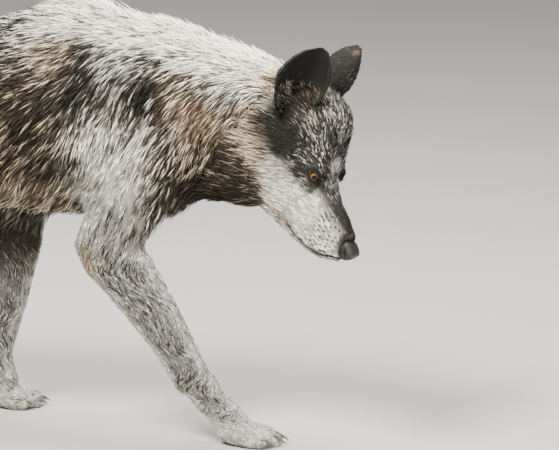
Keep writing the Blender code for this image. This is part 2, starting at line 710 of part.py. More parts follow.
def ear(side, place):
    """A pointed shell, open to the front and outside, its walls closing over the rear."""
    *places, full_width = EARS[side]
    base, tip, opening = (Vector(p) for p in places)
    rise = tip - base
    up = rise.normalized()
    front = (Vector(opening) - up * up.dot(opening)).normalized()
    across = up.cross(front)
    rows, columns = 7, 9
    bm = bmesh.new()
    shells = []
    for inner in (False, True):
        grid = []
        for i in range(rows + 1):
            high = i / rows
            share = EAR_START + (1 - EAR_START) * high
            wide = full_width / 2 * float(np.interp(share, *zip(*EAR_SHAPE)))
            deep = EAR_DEPTH * max(1 - share, 0.02) ** 0.7
            if inner:
                wide = max(wide - EAR_WALL, wide * 0.55)
                deep = max(deep - EAR_WALL, deep * 0.55)
            row = []
            for k in range(columns + 1):
                angle = math.radians(-112 + 224 * k / columns)
                side_step = across * wide * math.sin(angle)
                back_step = front * deep * (0.30 - math.cos(angle))
                row.append(bm.verts.new(base + rise * share + side_step + back_step))
            grid.append(row)
        shells.append(grid)
    outer, inner = shells
    for grid in shells:
        for i in range(rows):
            for k in range(columns):
                bm.faces.new((grid[i][k], grid[i][k + 1], grid[i + 1][k + 1], grid[i + 1][k]))
    for row_a, row_b in ((outer[0], inner[0]), (outer[-1], inner[-1])):
        for k in range(columns):
            bm.faces.new((row_a[k], row_a[k + 1], row_b[k + 1], row_b[k]))
    for k in (0, columns):
        for i in range(rows):
            bm.faces.new((outer[i][k], outer[i + 1][k], inner[i + 1][k], inner[i][k]))
    bm.transform(place)
    return add_object(f"ear_{side}", bm, "ear")


def main():
    clear_scene()
    place = head_frame()
    pieces = trunk_masses() + head_masses(place)
    for side in ("left", "right"):
        pieces += foreleg_masses(side) + hind_leg_masses(side)
    flesh = make_flesh(pieces)
    round_off(flesh, place)
    thin_out(flesh)
    ground = add_object("ground", ground_block())
    boolean(flesh, ground)
    remove(ground)
    for item in eyes_and_nose(place) + claws():
        cutter = grown(item, GAP)
        boolean(flesh, cutter)
        remove(cutter)
    cut_flesh(flesh, place)
    part_out(flesh, part_places(place))
    for side in ("left", "right"):
        made = ear(side, place)
        for name in ("head", "neck"):
            cutter = grown(bpy.data.objects[name], GAP)
            boolean(made, cutter)
            remove(cutter)
        keep_largest(made)
    lowest_middle()


def lowest_middle():
    """Moves everything so that the origin is under the middle of the figure, at floor level."""
    items = [item for item in bpy.data.objects if item.type == "MESH"]
    points = [v.co for item in items for v in item.data.vertices]
    middle = [(min(p[k] for p in points) + max(p[k] for p in points)) / 2 for k in (0, 1)]
    low = min(p.z for p in points)
    for item in items:
        item.data.transform(Matrix.Translation((-middle[0], -middle[1], -low)))


main()
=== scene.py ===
import math

import bmesh
import bpy
import numpy as np
from mathutils import Matrix, Vector, noise
from mathutils.bvhtree import BVHTree


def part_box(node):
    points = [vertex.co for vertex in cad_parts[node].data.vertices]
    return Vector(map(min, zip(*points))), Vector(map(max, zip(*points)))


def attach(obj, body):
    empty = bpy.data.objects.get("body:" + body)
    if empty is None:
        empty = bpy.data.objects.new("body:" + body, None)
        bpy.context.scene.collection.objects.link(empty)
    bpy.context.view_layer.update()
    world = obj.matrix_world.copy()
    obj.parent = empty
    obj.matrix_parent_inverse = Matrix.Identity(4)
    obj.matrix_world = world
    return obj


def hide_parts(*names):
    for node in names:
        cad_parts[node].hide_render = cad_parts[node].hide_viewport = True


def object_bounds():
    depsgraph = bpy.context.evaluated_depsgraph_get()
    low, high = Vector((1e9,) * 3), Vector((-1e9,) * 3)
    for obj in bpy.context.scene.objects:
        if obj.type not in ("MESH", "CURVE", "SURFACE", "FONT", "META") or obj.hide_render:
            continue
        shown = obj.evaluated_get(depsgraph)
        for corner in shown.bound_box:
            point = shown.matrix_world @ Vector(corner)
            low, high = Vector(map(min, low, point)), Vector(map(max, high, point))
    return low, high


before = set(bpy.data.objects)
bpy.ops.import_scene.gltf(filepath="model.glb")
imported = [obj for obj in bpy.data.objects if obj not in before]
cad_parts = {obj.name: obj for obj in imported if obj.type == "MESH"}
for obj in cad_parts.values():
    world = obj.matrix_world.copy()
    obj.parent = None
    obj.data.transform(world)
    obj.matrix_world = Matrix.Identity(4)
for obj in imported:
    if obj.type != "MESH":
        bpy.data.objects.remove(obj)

# A greying dark wolf in mid-stride, head lowered: one skin over the frame's flesh, fur in solid tufts,
# eyes with lids, a leathery nose, lips and claws.
cadLow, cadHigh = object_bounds()
chance = np.random.default_rng(41)

limbParts = ("foreleg_", "forefoot_", "hind_leg_", "hind_foot_")
limbNodes = [part + side for part in limbParts for side in ("right", "left")]
fleshNodes = ["trunk", "neck", "head", "lower_jaw", "tail", *limbNodes]
earNodes = ["ear_right", "ear_left"]
partNames = fleshNodes + earNodes


# places, all taken from the frame
def middleOf(node):
    low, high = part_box(node)
    return (low + high) / 2


placeSizes = {
    "withers": (0.7819, 0.1632),  # forward and across from the frame's low corner
    "noseDrop": (0.0405, 0.1175),  # how far the nose lies below and ahead of the eyes
    "headHome": 0.002,  # where the head's frame starts, ahead of and below the middle of the eyes
}
home = Vector((cadLow.x + placeSizes["withers"][0], cadLow.y + placeSizes["withers"][1], 0))
eyeRight, eyeLeft, noseMiddle = middleOf("eye_right"), middleOf("eye_left"), middleOf("nose")
headLeft = (eyeLeft - eyeRight).normalized()
eyesMiddle = (eyeLeft + eyeRight) / 2
toNose = noseMiddle - eyesMiddle
toNose = (toNose - headLeft * toNose.dot(headLeft)).normalized()
headAhead = Matrix.Rotation(-math.atan2(*placeSizes["noseDrop"]), 3, headLeft) @ toNose
headUp = headAhead.cross(headLeft)
headHome = eyesMiddle + headAhead * placeSizes["headHome"] - headUp * placeSizes["headHome"]
headAxes = np.array([headAhead, headLeft, headUp])
eyeRadius = (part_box("eye_right")[1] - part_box("eye_right")[0]).x / 2


def toBody(points):
    return points - np.array(home)


def toHead(points):
    return (points - np.array(headHome)) @ headAxes.T


def fromHead(points):
    return np.asarray(points) @ headAxes + np.array(headHome)


# small helpers
def ease(values, start, end):
    share = np.clip((values - start) / (end - start), 0, 1)
    return share * share * (3 - 2 * share)


def unit(vectors):
    return vectors / np.maximum(np.linalg.norm(vectors, axis=-1, keepdims=True), 1e-9)


def ridge(values, middle, width):
    return np.exp(-(((values - middle) / width) ** 2))


def hump(points, place, reach):
    return np.exp(-(((points - np.array(place)) / np.array(reach)) ** 2).sum(1))


def bell(points, place, reach):
    # a hump with its place and reach in mm
    return hump(points, np.array(place) / 1000, np.array(reach) / 1000)


def follow(values, line):
    # the height of a bent line at many places
    return np.interp(values, *zip(*line))


def wander(points, size, seed):
    # smooth noise from about -1 to 1
    scaled = points / size + seed * 7.31
    return np.array([noise.noise(Vector(p)) for p in scaled])


def pointsOf(mesh, kind="co"):
    flat = np.empty(len(mesh.vertices) * 3)
    mesh.vertices.foreach_get(kind, flat)
    return flat.reshape(-1, 3)


def normalsOf(mesh):
    return pointsOf(mesh, "normal")


def trianglesOf(mesh):
    mesh.calc_loop_triangles()
    flat = np.empty(len(mesh.loop_triangles) * 3, np.int32)
    mesh.loop_triangles.foreach_get("vertices", flat)
    return flat.reshape(-1, 3)


def placePoints(mesh, points):
    mesh.vertices.foreach_set("co", np.ascontiguousarray(points, dtype=np.float64).ravel())
    mesh.update()


def addItem(name, data):
    item = bpy.data.objects.new(name, data)
    bpy.context.scene.collection.objects.link(item)
    return item


def pick(*items):
    # selects these alone, with the first one active
    bpy.ops.object.select_all(action="DESELECT")
    for item in items:
        item.select_set(True)
    bpy.context.view_layer.objects.active = items[0]


def modify(item, kind, **settings):
    # adds one modifier and applies it
    modifier = item.modifiers.new(kind.lower(), kind)
    for name, value in settings.items():
        setattr(modifier, name, value)
    pick(item)
    bpy.ops.object.modifier_apply(modifier=modifier.name)


def editAll(item, step, **settings):
    # one step in edit mode on the whole of an item
    pick(item)
    bpy.ops.object.mode_set(mode="EDIT")
    bpy.ops.mesh.select_all(action="SELECT")
    step(**settings)
    bpy.ops.object.mode_set(mode="OBJECT")


def newShape(name, add, **settings):
    # one of the basic shapes, under its own name
    bpy.ops.object.select_all(action="DESELECT")
    add(**settings)
    item = bpy.context.active_object
    item.name = name
    return item


def markColours(mesh, colours):
    # the colours that the materials read, one for each point or one for all
    wide = np.ones((len(mesh.vertices), 4), np.float32)
    wide[:, :3] = colours
    layer = mesh.color_attributes.new("markings", "FLOAT_COLOR", "POINT")
    layer.data.foreach_set("color", wide.ravel())


def joinedCopy(name, nodes):
    # one object from copies of several frame nodes, with their loose triangles merged
    pick(*[addItem(name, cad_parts[node].data.copy()) for node in nodes])
    bpy.ops.object.join()
    joined = bpy.context.view_layer.objects.active
    joined.name = name
    editAll(joined, bpy.ops.mesh.remove_doubles, threshold=0.00001)
    joined.data.materials.clear()
    return joined


def linear(colour):
    # a screen colour from 0 to 255 as the linear values that shaders take
    value = np.array(colour, float) / 255
    return np.where(value <= 0.04045, value / 12.92, ((value + 0.055) / 1.055) ** 2.4)


print("frame read")


# flesh and ears as one search tree, to tell which part a point belongs to
treePoints, treeFaces, treeOwner = [], [], []
for number, node in enumerate(partNames):
    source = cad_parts[node].data
    offset = len(treePoints)
    treePoints += [v.co.copy() for v in source.vertices]
    treeFaces += [[offset + i for i in face.vertices] for face in source.polygons]
    treeOwner += [number] * len(source.polygons)
partTree = BVHTree.FromPolygons(treePoints, treeFaces)


def ownerOf(points):
    # the number of the part that lies nearest to each point
    return np.array([treeOwner[partTree.find_nearest(Vector(p))[2]] for p in points])


# skin
skinSizes = {
    "grain": 0.0080,  # voxel size, before the head is given back its own size
    "headMiddle": (-0.030, 0, 0.030),  # where the faces are finest, in the head's frame
    "headGain": 3.4,  # how much finer the head is than the body
    "headReach": 0.178,
    "bodyGain": 0.62,  # how much coarser than that the body is along its length
    "paws": 0.056,  # height up to which the faces are split once more
    "eyes": (0.021, 0.017),  # and how near to the eyes they are split once and twice
    "closing": 0.0006,  # closes the thin cuts between the parts
    "earWall": 0.0019,  # how much the ears are thickened before the remesh
    "smoothing": 0.5,
    "joins": 8,  # rounds that soften the joins between the parts
    "keep": 0.4,  # what a point keeps of its own in each of them
}


def spread(points, back=False):
    # pushes everything out from the head's middle, so that the remesh leaves finer faces there
    middle = fromHead(skinSizes["headMiddle"])
    step = points - middle
    far = np.linalg.norm(step, axis=1, keepdims=True)
    gain, reach, beyond = skinSizes["headGain"], skinSizes["headReach"], skinSizes["bodyGain"]
    if back:
        new = np.where(far < reach * gain, far / gain, reach + (far - reach * gain) / beyond)
    else:
        new = np.where(far < reach, far * gain, reach * gain + (far - reach) * beyond)
    return middle + step * new / np.maximum(far, 1e-9)


skin = joinedCopy("skin", partNames + ["eye_right", "eye_left", "nose"])
modify(skin, "DISPLACE", strength=skinSizes["closing"], mid_level=0.0)
outside = addItem("outside", skin.data.copy())
# thin ear walls are thickened for the remesh, and laid back on their own shape after it
thick = pointsOf(skin.data)
isEar = ownerOf(thick) >= len(fleshNodes)  # the ears are numbered after the flesh
thick += normalsOf(skin.data) * (isEar * skinSizes["earWall"])[:, None]
placePoints(skin.data, spread(thick))
modify(skin, "REMESH", mode="VOXEL", voxel_size=skinSizes["grain"], use_smooth_shade=True)
placePoints(skin.data, spread(pointsOf(skin.data), back=True))


def refine(near):
    # splits the skin's faces where all the corners are near
    pick(skin)
    setMode, mesh = bpy.ops.object.mode_set, bpy.ops.mesh
    setMode(mode="EDIT")
    mesh.select_mode(type="VERT")
    mesh.select_all(action="DESELECT")
    setMode(mode="OBJECT")
    skin.data.vertices.foreach_set("select", near)
    setMode(mode="EDIT")
    mesh.select_mode(type="FACE")
    mesh.subdivide(number_cuts=1)
    setMode(mode="OBJECT")


# finer faces on the paws, then everything is laid back on the frame's flesh
refine(pointsOf(skin.data)[:, 2] < skinSizes["paws"])
modify(skin, "SHRINKWRAP", target=outside, wrap_method="NEAREST_SURFACEPOINT")
modify(skin, "SMOOTH", factor=skinSizes["smoothing"], iterations=3)
bpy.data.objects.remove(outside)

# and round the eyes
eyeSpots = [np.array(eyeRight), np.array(eyeLeft)]
for reach in skinSizes["eyes"]:
    far = [np.linalg.norm(pointsOf(skin.data) - spot, axis=1) for spot in eyeSpots]
    refine(np.min(far, axis=0) < reach)
print("skin remeshed:", len(trianglesOf(skin.data)), "triangles")


# which part each point of the skin belongs to, softened across the joins
def partShares(mesh):
    owner = ownerOf(pointsOf(mesh))
    shares = np.zeros((len(owner), len(partNames)))
    shares[np.arange(len(owner)), owner] = 1
    edges = np.empty(len(mesh.edges) * 2, np.int32)
    mesh.edges.foreach_get("vertices", edges)
    a, b = edges.reshape(-1, 2).T
    count = np.bincount(a, minlength=len(owner)) + np.bincount(b, minlength=len(owner))
    for _ in range(skinSizes["joins"]):
        for k in range(shares.shape[1]):
            column = shares[:, k]
            around = np.bincount(a, column[b], len(owner)) + np.bincount(b, column[a], len(owner))
            keep = skinSizes["keep"]
            shares[:, k] = keep * column + (1 - keep) * around / np.maximum(count, 1)
    return owner, shares


owner, shares = partShares(skin.data)


def shareOf(*nodes):
    return shares[:, [partNames.index(node) for node in nodes]].sum(1)


print("skin parts found")

# coat guides: where the hair lies which way, how long it is, how deep the coat and how far it stands off;
# place and reach, x forward, y out from the middle, z up, from the ground below the withers, then the way
# it lies, and length, depth and lift; all in mm and degrees
bodyGuides = np.array([
    (0, 0, 680, 60, -1, 0.15, 0.05, 34, 13, 24),  # withers
    (120, 0, 650, 60, -0.96, 0.1, 0.28, 36, 14, 27),  # neck crest
    (220, 0, 625, 60, -0.96, 0.1, 0.2, 34, 14, 27),
    (300, 0, 600, 50, -0.95, 0.1, 0.1, 28, 12, 24),
    (200, 80, 585, 45, -0.88, 0.05, -0.42, 28, 12, 20),  # upper neck
    (200, 90, 520, 60, -0.52, 0, -0.85, 30, 13, 18),  # side of the neck
    (290, 90, 520, 45, -0.55, 0.1, -0.8, 28, 12, 20),  # ruff
    (300, 70, 440, 50, -0.65, 0.05, -0.7, 26, 11, 20),
    (220, 40, 380, 60, -0.85, 0, -0.45, 24, 11, 20),  # throat
    (150, 60, 430, 60, -0.5, 0, -0.85, 26, 12, 18),  # forechest
    (70, 90, 590, 60, -0.6, 0.05, -0.75, 26, 12, 17),  # top of the shoulder
    (30, 100, 520, 60, -0.35, 0, -0.93, 26, 12, 16),  # shoulder
    (70, 100, 420, 60, -0.42, 0, -0.9, 24, 10, 15),
    (50, 110, 350, 40, -0.25, 0, -0.97, 16, 6, 13),
    (-60, 90, 600, 60, -0.95, 0, -0.3, 26, 12, 17),  # behind the shoulder
    (-100, 110, 520, 70, -0.78, 0, -0.62, 25, 12, 17),
    (-90, 100, 430, 60, -0.5, 0, -0.86, 25, 11, 17),
    (-80, 50, 355, 60, -0.55, 0, -0.83, 28, 11, 24),  # chest fringe
    (-250, 0, 640, 90, -1, 0.2, -0.05, 28, 12, 18),  # back
    (-280, 100, 560, 90, -0.9, 0, -0.42, 25, 12, 16),  # flank
    (-260, 90, 450, 80, -0.75, 0, -0.66, 24, 11, 17),
    (-260, 30, 375, 80, -0.85, 0, -0.5, 24, 10, 20),  # belly
    (-450, 0, 640, 80, -0.97, 0.2, -0.2, 30, 12, 18),  # croup
    (-440, 90, 540, 80, -0.7, 0, -0.7, 25, 11, 16),  # haunch
    (-440, 70, 430, 70, -0.35, 0, -0.94, 20, 8, 15),
    (-600, 20, 580, 60, -0.75, 0.1, -0.65, 34, 11, 20),  # root of the tail
    (-620, 50, 500, 60, -0.45, 0, -0.9, 32, 10, 20),  # breeches
])
# the same in the head's own frame: x towards the nose, y out, z up
headGuides = np.array([
    (110, 0, -20, 22, -1, 0.05, 0.1, 4, 0.6, 10),  # top of the muzzle's end
    (100, 20, -50, 22, -0.98, 0.15, -0.1, 5, 0.8, 13),  # lip
    (70, 0, -8, 24, -1, 0.1, 0.08, 6, 1, 12),  # bridge
    (60, 20, -45, 26, -0.98, 0.12, -0.1, 7, 1.2, 15),  # side of the muzzle
    (30, 0, 2, 20, -0.92, 0.1, 0.35, 8, 1.6, 17),  # stop
    (10, 40, 20, 20, -0.85, 0.4, 0.35, 8, 1.8, 22),  # brow
    (-10, 0, 45, 30, -0.9, 0.2, 0.35, 8, 2.4, 28),  # forehead
    (-60, 20, 75, 35, -1, 0.15, 0.1, 10, 3.2, 30),
    (-110, 20, 70, 35, -1, 0.05, -0.1, 16, 5, 28),  # crown
    (-45, 60, 20, 30, -0.92, 0.3, 0.05, 9, 3, 24),  # temple
    (20, 30, -30, 22, -0.96, 0.22, -0.12, 8, 1.5, 16),  # below the eye
    (-20, 50, -45, 30, -0.88, 0.3, -0.35, 12, 3, 20),  # cheek
    (-70, 70, -40, 35, -0.75, 0.35, -0.5, 18, 6, 23),
    (-110, 80, -20, 35, -0.7, 0.25, -0.62, 24, 8.5, 22),
    (-60, 40, -100, 35, -0.8, 0.2, -0.45, 18, 6, 20),  # below the cheek
    (10, 30, -85, 25, -0.95, 0.15, -0.2, 9, 2, 16),  # back of the jaw
    (60, 10, -85, 25, -1, 0.05, -0.1, 7, 1.2, 14),  # chin
    (-110, 20, -120, 40, -0.9, 0.1, -0.35, 24, 8.5, 20),  # throat
])
# height, hair length, coat depth and lift along the legs and the tail
legGuides = np.array([
    (0, 6.0, 0.8, 12),
    (40, 8.0, 1.0, 14),
    (120, 10.0, 1.4, 12),
    (220, 12.0, 1.8, 12),
    (300, 15.0, 3.2, 13),
    (400, 20.0, 7.5, 14),
])
tailGuides = np.array([
    (170, 20.0, 4.0, 10),
    (240, 34.0, 9.0, 16),
    (350, 42.0, 13.0, 20),
    (600, 36.0, 11.0, 20),
])
# the same up the ears, from root to tip
earGuides = np.array([
    (0, 12.0, 1.6, 16),
    (30, 7.0, 0.5, 9),
    (100, 4.5, 0.25, 6),
])
for guides in (bodyGuides, headGuides):
    guides[:, :4] /= 1000
for guides in (legGuides, tailGuides, earGuides):
    guides[:, 0] /= 1000
neckBend = ((0.10, 0.0), (0.20, -0.018), (0.27, -0.046), (0.325, -0.074), (0.365, -0.092), (0.42, -0.110))


def outFromMiddle(body):
    # y counted outwards from the bent middle of trunk and neck, and the side each point is on
    middle = follow(body[:, 0], neckBend)
    middle *= ease(body[:, 2], 0.30, 0.38)
    across = body[:, 1] - middle
    side = np.clip(across / 0.025, -1, 1)
    return np.column_stack([body[:, 0], np.abs(across), body[:, 2]]), side


def askGuides(places, guides):
    gap = ((places[:, None, :] - guides[None, :, 0:3]) ** 2).sum(2)
    weight = np.exp(-gap / guides[None, :, 3] ** 2) + 1e-9 / (gap + 1e-4)
    weight /= weight.sum(1, keepdims=True)
    return weight @ guides[:, 4:7], weight @ guides[:, 7:10]


def readTable(table, values):
    # what stands in a table's other columns, between its rows too
    return np.column_stack([np.interp(values, table[:, 0], column) for column in table[:, 1:].T])


def axisBySlices(node, height, steps=8):
    # the way a standing part runs down, read from the middles of its slices
    places = np.array([v.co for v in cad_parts[node].data.vertices])
    levels = np.linspace(places[:, 2].min(), places[:, 2].max(), steps + 1)
    middles = []
    for low, high in zip(levels, levels[1:]):
        inside = (places[:, 2] >= low) & (places[:, 2] <= high)
        middles.append(places[inside].mean(0) if inside.any() else places.mean(0))
    middles = np.array(middles)
    down = unit(middles[:-1] - middles[1:])
    heights = (middles[:-1, 2] + middles[1:, 2]) / 2
    return unit(readTable(np.column_stack([heights, down]), height))


footSizes = {"from": (0.060, 0.025), "turn": 0.75, "way": (1.0, 0, -0.15)}  # hair turned forward
earSizes = {
    "right": (0.52, -0.83, 0.20),  # the way the hollow faces, in the head's frame
    "left": (0.14, 0.96, -0.04),
    "hollow": (0.05, 0.45),  # how well a place has to face that way
    "back": -0.08,
}


def earFrame(side):
    # root, tip and the way the hollow faces, of one ear
    places = np.array([v.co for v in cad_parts["ear_" + side].data.vertices])
    high = toHead(places)[:, 2]
    tip = places[np.argmax(high)]
    root = places[high < np.quantile(high, 0.25)].mean(0)
    return root, tip, np.array(earSizes[side]) @ headAxes


places = pointsOf(skin.data)
normals = normalsOf(skin.data)
body, side = outFromMiddle(toBody(places))
head = toHead(places)
headOut = np.column_stack([head[:, 0], np.abs(head[:, 1]), head[:, 2]])
headSide = np.clip(head[:, 1] / 0.006, -1, 1)

flow, sizes = askGuides(body, bodyGuides)
flow[:, 1] *= side
headFlow, headSizes = askGuides(headOut, headGuides)
headFlow[:, 1] *= headSide


def layCoat(share, newFlow, newSizes):
    # turns the hair and changes its sizes, as far as each point's share says
    flow[:] = flow * (1 - share) + newFlow * share
    sizes[:] = sizes * (1 - share) + newSizes * share


headShare = shareOf("head", "lower_jaw")[:, None]
headShare = np.maximum(headShare, shareOf(*earNodes)[:, None] * 0.999)
layCoat(headShare, unit(headFlow @ headAxes), headSizes)

# legs and tail follow their own length, and on the feet the hair turns forward
height = places[:, 2]
for node in ["tail"] + limbNodes:
    share = shareOf(node)[:, None]
    down = axisBySlices(node, height)
    if "foot" in node:
        ahead = ease(height, *footSizes["from"])[:, None]
        down = unit(down * (1 - footSizes["turn"] * ahead) + np.array(footSizes["way"]) * ahead)
    own = readTable(tailGuides if node == "tail" else legGuides, height)
    layCoat(np.where(share > 0.002, share, 0), down, own)

# ears: along the shell, and the hollow is nearly bare but for its front edge
hollow = np.zeros(len(places))
for name in ("right", "left"):
    root, tip, opening = earFrame(name)
    share = shareOf("ear_" + name)
    along = unit(tip - root)
    hollow = np.maximum(hollow, ease(normals @ opening, *earSizes["hollow"]) * share)
    back = np.array([earSizes["back"], 0, 0]) @ headAxes
    layCoat(share[:, None], along + back, readTable(earGuides, (places - root) @ along))

hairLength, coatDepth, hairLift = sizes[:, 0] / 1000, sizes[:, 1] / 1000, np.radians(sizes[:, 2])
flow = unit(flow - normals * (flow * normals).sum(1, keepdims=True))
print("coat guides asked")

# the skin sinks by the coat's depth
placePoints(skin.data, places - normals * coatDepth[:, None])
modify(skin, "SMOOTH", factor=skinSizes["smoothing"], iterations=2)

# eyes: an almond opening in the skin with thick lids, a dark wet rim and a whole ball
eyeSizes = {
    "facing": (0.60, 0.74, 0.22),  # for the left eye, in the head's frame
    "corner": (0.78, -0.50, -0.14),  # towards the inner corner
    "halfWidth": 0.0112,
    "upper": 0.0054,
    "lower": 0.0052,
    "peak": 0.08,  # how far behind its middle the upper lid is highest
    "round": (0.75, 0.9),  # the smaller, the rounder the upper and the lower lid
    "lid": 0.0014,
    "upperLid": 0.0004,  # how much thicker the upper lid is
    "fade": (0.0016, 0.0130),  # over which the lids pass into the face
    "clear": 0.0006,  # least space between face and ball
    "sunk": 0.0030,  # how deep the skin lies behind the opening
    "edge": -0.0004,  # and from where on
    "reach": 0.036,
    "rim": 0.0010,
    "cornea": 0.035,  # how far it stands out, as a share of the radius
    "look": (1, -0.02, -0.10),  # straight out, towards the inner corner, and up
    "shadow": (0, -0.6, -0.8),  # away from the brow's painted shadow on the iris
}


def eyeFrame(out):
    # the way an eye looks, towards its inner corner, and up; out is -1 on the right and 1 on the left
    facing, corner = (Vector(eyeSizes[way]) * Vector((1, out, 1)) for way in ("facing", "corner"))
    facing = Vector(np.array(facing.normalized()) @ headAxes)
    corner = Vector(np.array(corner) @ headAxes)
    corner = (corner - facing * corner.dot(facing)).normalized()
    above = facing.cross(corner) * -out
    return np.array(facing), np.array(corner), np.array(above)


def lidHeight(across, above):
    share = np.clip(across / eyeSizes["halfWidth"], -1, 1)
    top = eyeSizes["upper"] * np.clip(1 - (share + eyeSizes["peak"]) ** 2, 0, 1) ** eyeSizes["round"][0]
    bottom = eyeSizes["lower"] * np.clip(1 - share**2, 0, 1) ** eyeSizes["round"][1]
    return np.where(above > 0, top, bottom)


def eyeSteps(places, spot, axes):
    # the step up over the ball, how far outside the opening, and how far and which way from its middle
    step = places - spot
    far = np.linalg.norm(step, axis=1)
    way = step / np.maximum(far, 1e-9)[:, None]
    turn = np.arccos(np.clip(way @ axes[0], -1, 1))
    flat = np.column_stack([way @ axes[1], way @ axes[2]])
    flat = flat / np.maximum(np.linalg.norm(flat, axis=1), 1e-9)[:, None] * (turn * eyeRadius)[:, None]
    across, above = flat.T
    over = np.maximum(np.abs(across) - eyeSizes["halfWidth"], 0)
    outside = np.where(over > 0, np.hypot(over, above), np.abs(above) - lidHeight(across, above))
    return above, outside, far, way


eyes = [("right", np.array(eyeRight), eyeFrame(-1)), ("left", np.array(eyeLeft), eyeFrame(1))]
skinPlaces = pointsOf(skin.data)
eyeOutside = np.full(len(skinPlaces), 1.0)
for name, spot, axes in eyes:
    above, outside, far, way = eyeSteps(skinPlaces, spot, axes)
    close = (far < eyeSizes["reach"]) & (way @ axes[0] > 0.0)
    lid = eyeRadius + eyeSizes["lid"] + np.where(above > 0, eyeSizes["upperLid"], 0.0)
    blend = ease(outside, *eyeSizes["fade"])
    wanted = lid * (1 - blend) + np.maximum(far, eyeRadius + eyeSizes["clear"]) * blend
    wanted = np.where(outside < eyeSizes["edge"], eyeRadius - eyeSizes["sunk"], wanted)
    skinPlaces[close] = (spot + way * wanted[:, None])[close]
    eyeOutside[close] = np.minimum(eyeOutside, outside)[close]

# mouth: a groove along the lips, the lower lip tucked under the upper
lipLine = (  # from the corner of the mouth forward
    (0.023, -0.0835), (0.037, -0.0868), (0.056, -0.0875), (0.074, -0.0845), (0.09, -0.077),
    (0.101, -0.0695), (0.109, -0.0605), (0.116, -0.056), (0.124, -0.053),
)
lipSizes = {
    "groove": 0.0019,
    "width": 0.0015,
    "swell": (0.0008, 0.0045),  # of the upper lip, and how far above the groove
    "tuck": (0.0005, -0.004),  # of the lower lip
    "soft": 0.003,
    "line": 0.0011,
    "sunk": 0.0003,
    "tone": (0.010, 0.008, 0.007),
}
lipPlaces = toHead(skinPlaces)
drop = lipPlaces[:, 2] - follow(lipPlaces[:, 0], lipLine)
onMouth = ease(lipPlaces[:, 0], 0.018, 0.030)
onMuzzle = onMouth * headShare[:, 0]
normals = normalsOf(skin.data)
groove = lipSizes["groove"] * ridge(drop, 0, lipSizes["width"])
swell, tuck = (size * ridge(drop, up, lipSizes["soft"]) for size, up in (lipSizes["swell"], lipSizes["tuck"]))
skinPlaces += normals * ((swell - tuck - groove) * onMuzzle)[:, None]
lipGap = np.where(onMuzzle > 0.05, np.abs(drop), 1.0)

# the skin passes under the nose pad
noseSizes = {
    "radii": (0.0148, 0.0160, 0.0140),
    "squareness": 3.0,
    "tilt": 18,
    "seat": 0.0018,  # how far the skin dips below the pad
    "seatEdge": (1.22, 1.0),  # where that starts and ends, in radii
    "mean": 0.0145,  # mean radius
    "flatTop": 0.10,
    "bluntFront": 0.06,
    "wing": 0.05,
    "nostril": 0.0040,  # depths
    "slit": 0.0024,
    "parting": 0.0010,
    "nostrilAt": ((0.86, 0.56, 0.05), (0.30, 0.20, 0.34)),  # place and reach, as shares of the radii
    "wingAt": ((0.78, 0.12), (0.16, 0.25)),
    "tone": (0.012, 0.010, 0.0095),
    "hollowShade": 0.92,  # painted shade: how much darker the nostrils, the slit and the parting are
}
noseHome = toHead(np.array([noseMiddle]))[0]
power = noseSizes["squareness"]
inNose = np.abs((toHead(skinPlaces) - noseHome) / np.array(noseSizes["radii"])) ** power
inNose = inNose.sum(1) ** (1 / power)
skinPlaces -= normals * (ease(inNose, *noseSizes["seatEdge"]) * noseSizes["seat"])[:, None]
placePoints(skin.data, skinPlaces)
skinNormals = normalsOf(skin.data)
noseGap = (inNose - 1) * noseSizes["mean"]
print("lids, lips and nose seat shaped")

# markings
tones = {
    "cream": (246, 242, 230),
    "white": (238, 236, 228),
    "pale": (206, 201, 190),
    "grey": (146, 141, 131),
    "coal": (62, 58, 51),
    "black": (26, 24, 21),
    "sand": (224, 206, 181),
    "tan": (190, 170, 144),
    "rust": (134, 108, 86),
    "brown": (92, 76, 58),
    "umber": (46, 38, 29),
    "pink": (196, 160, 140),
}
tones = {name: linear(colour) for name, colour in tones.items()}
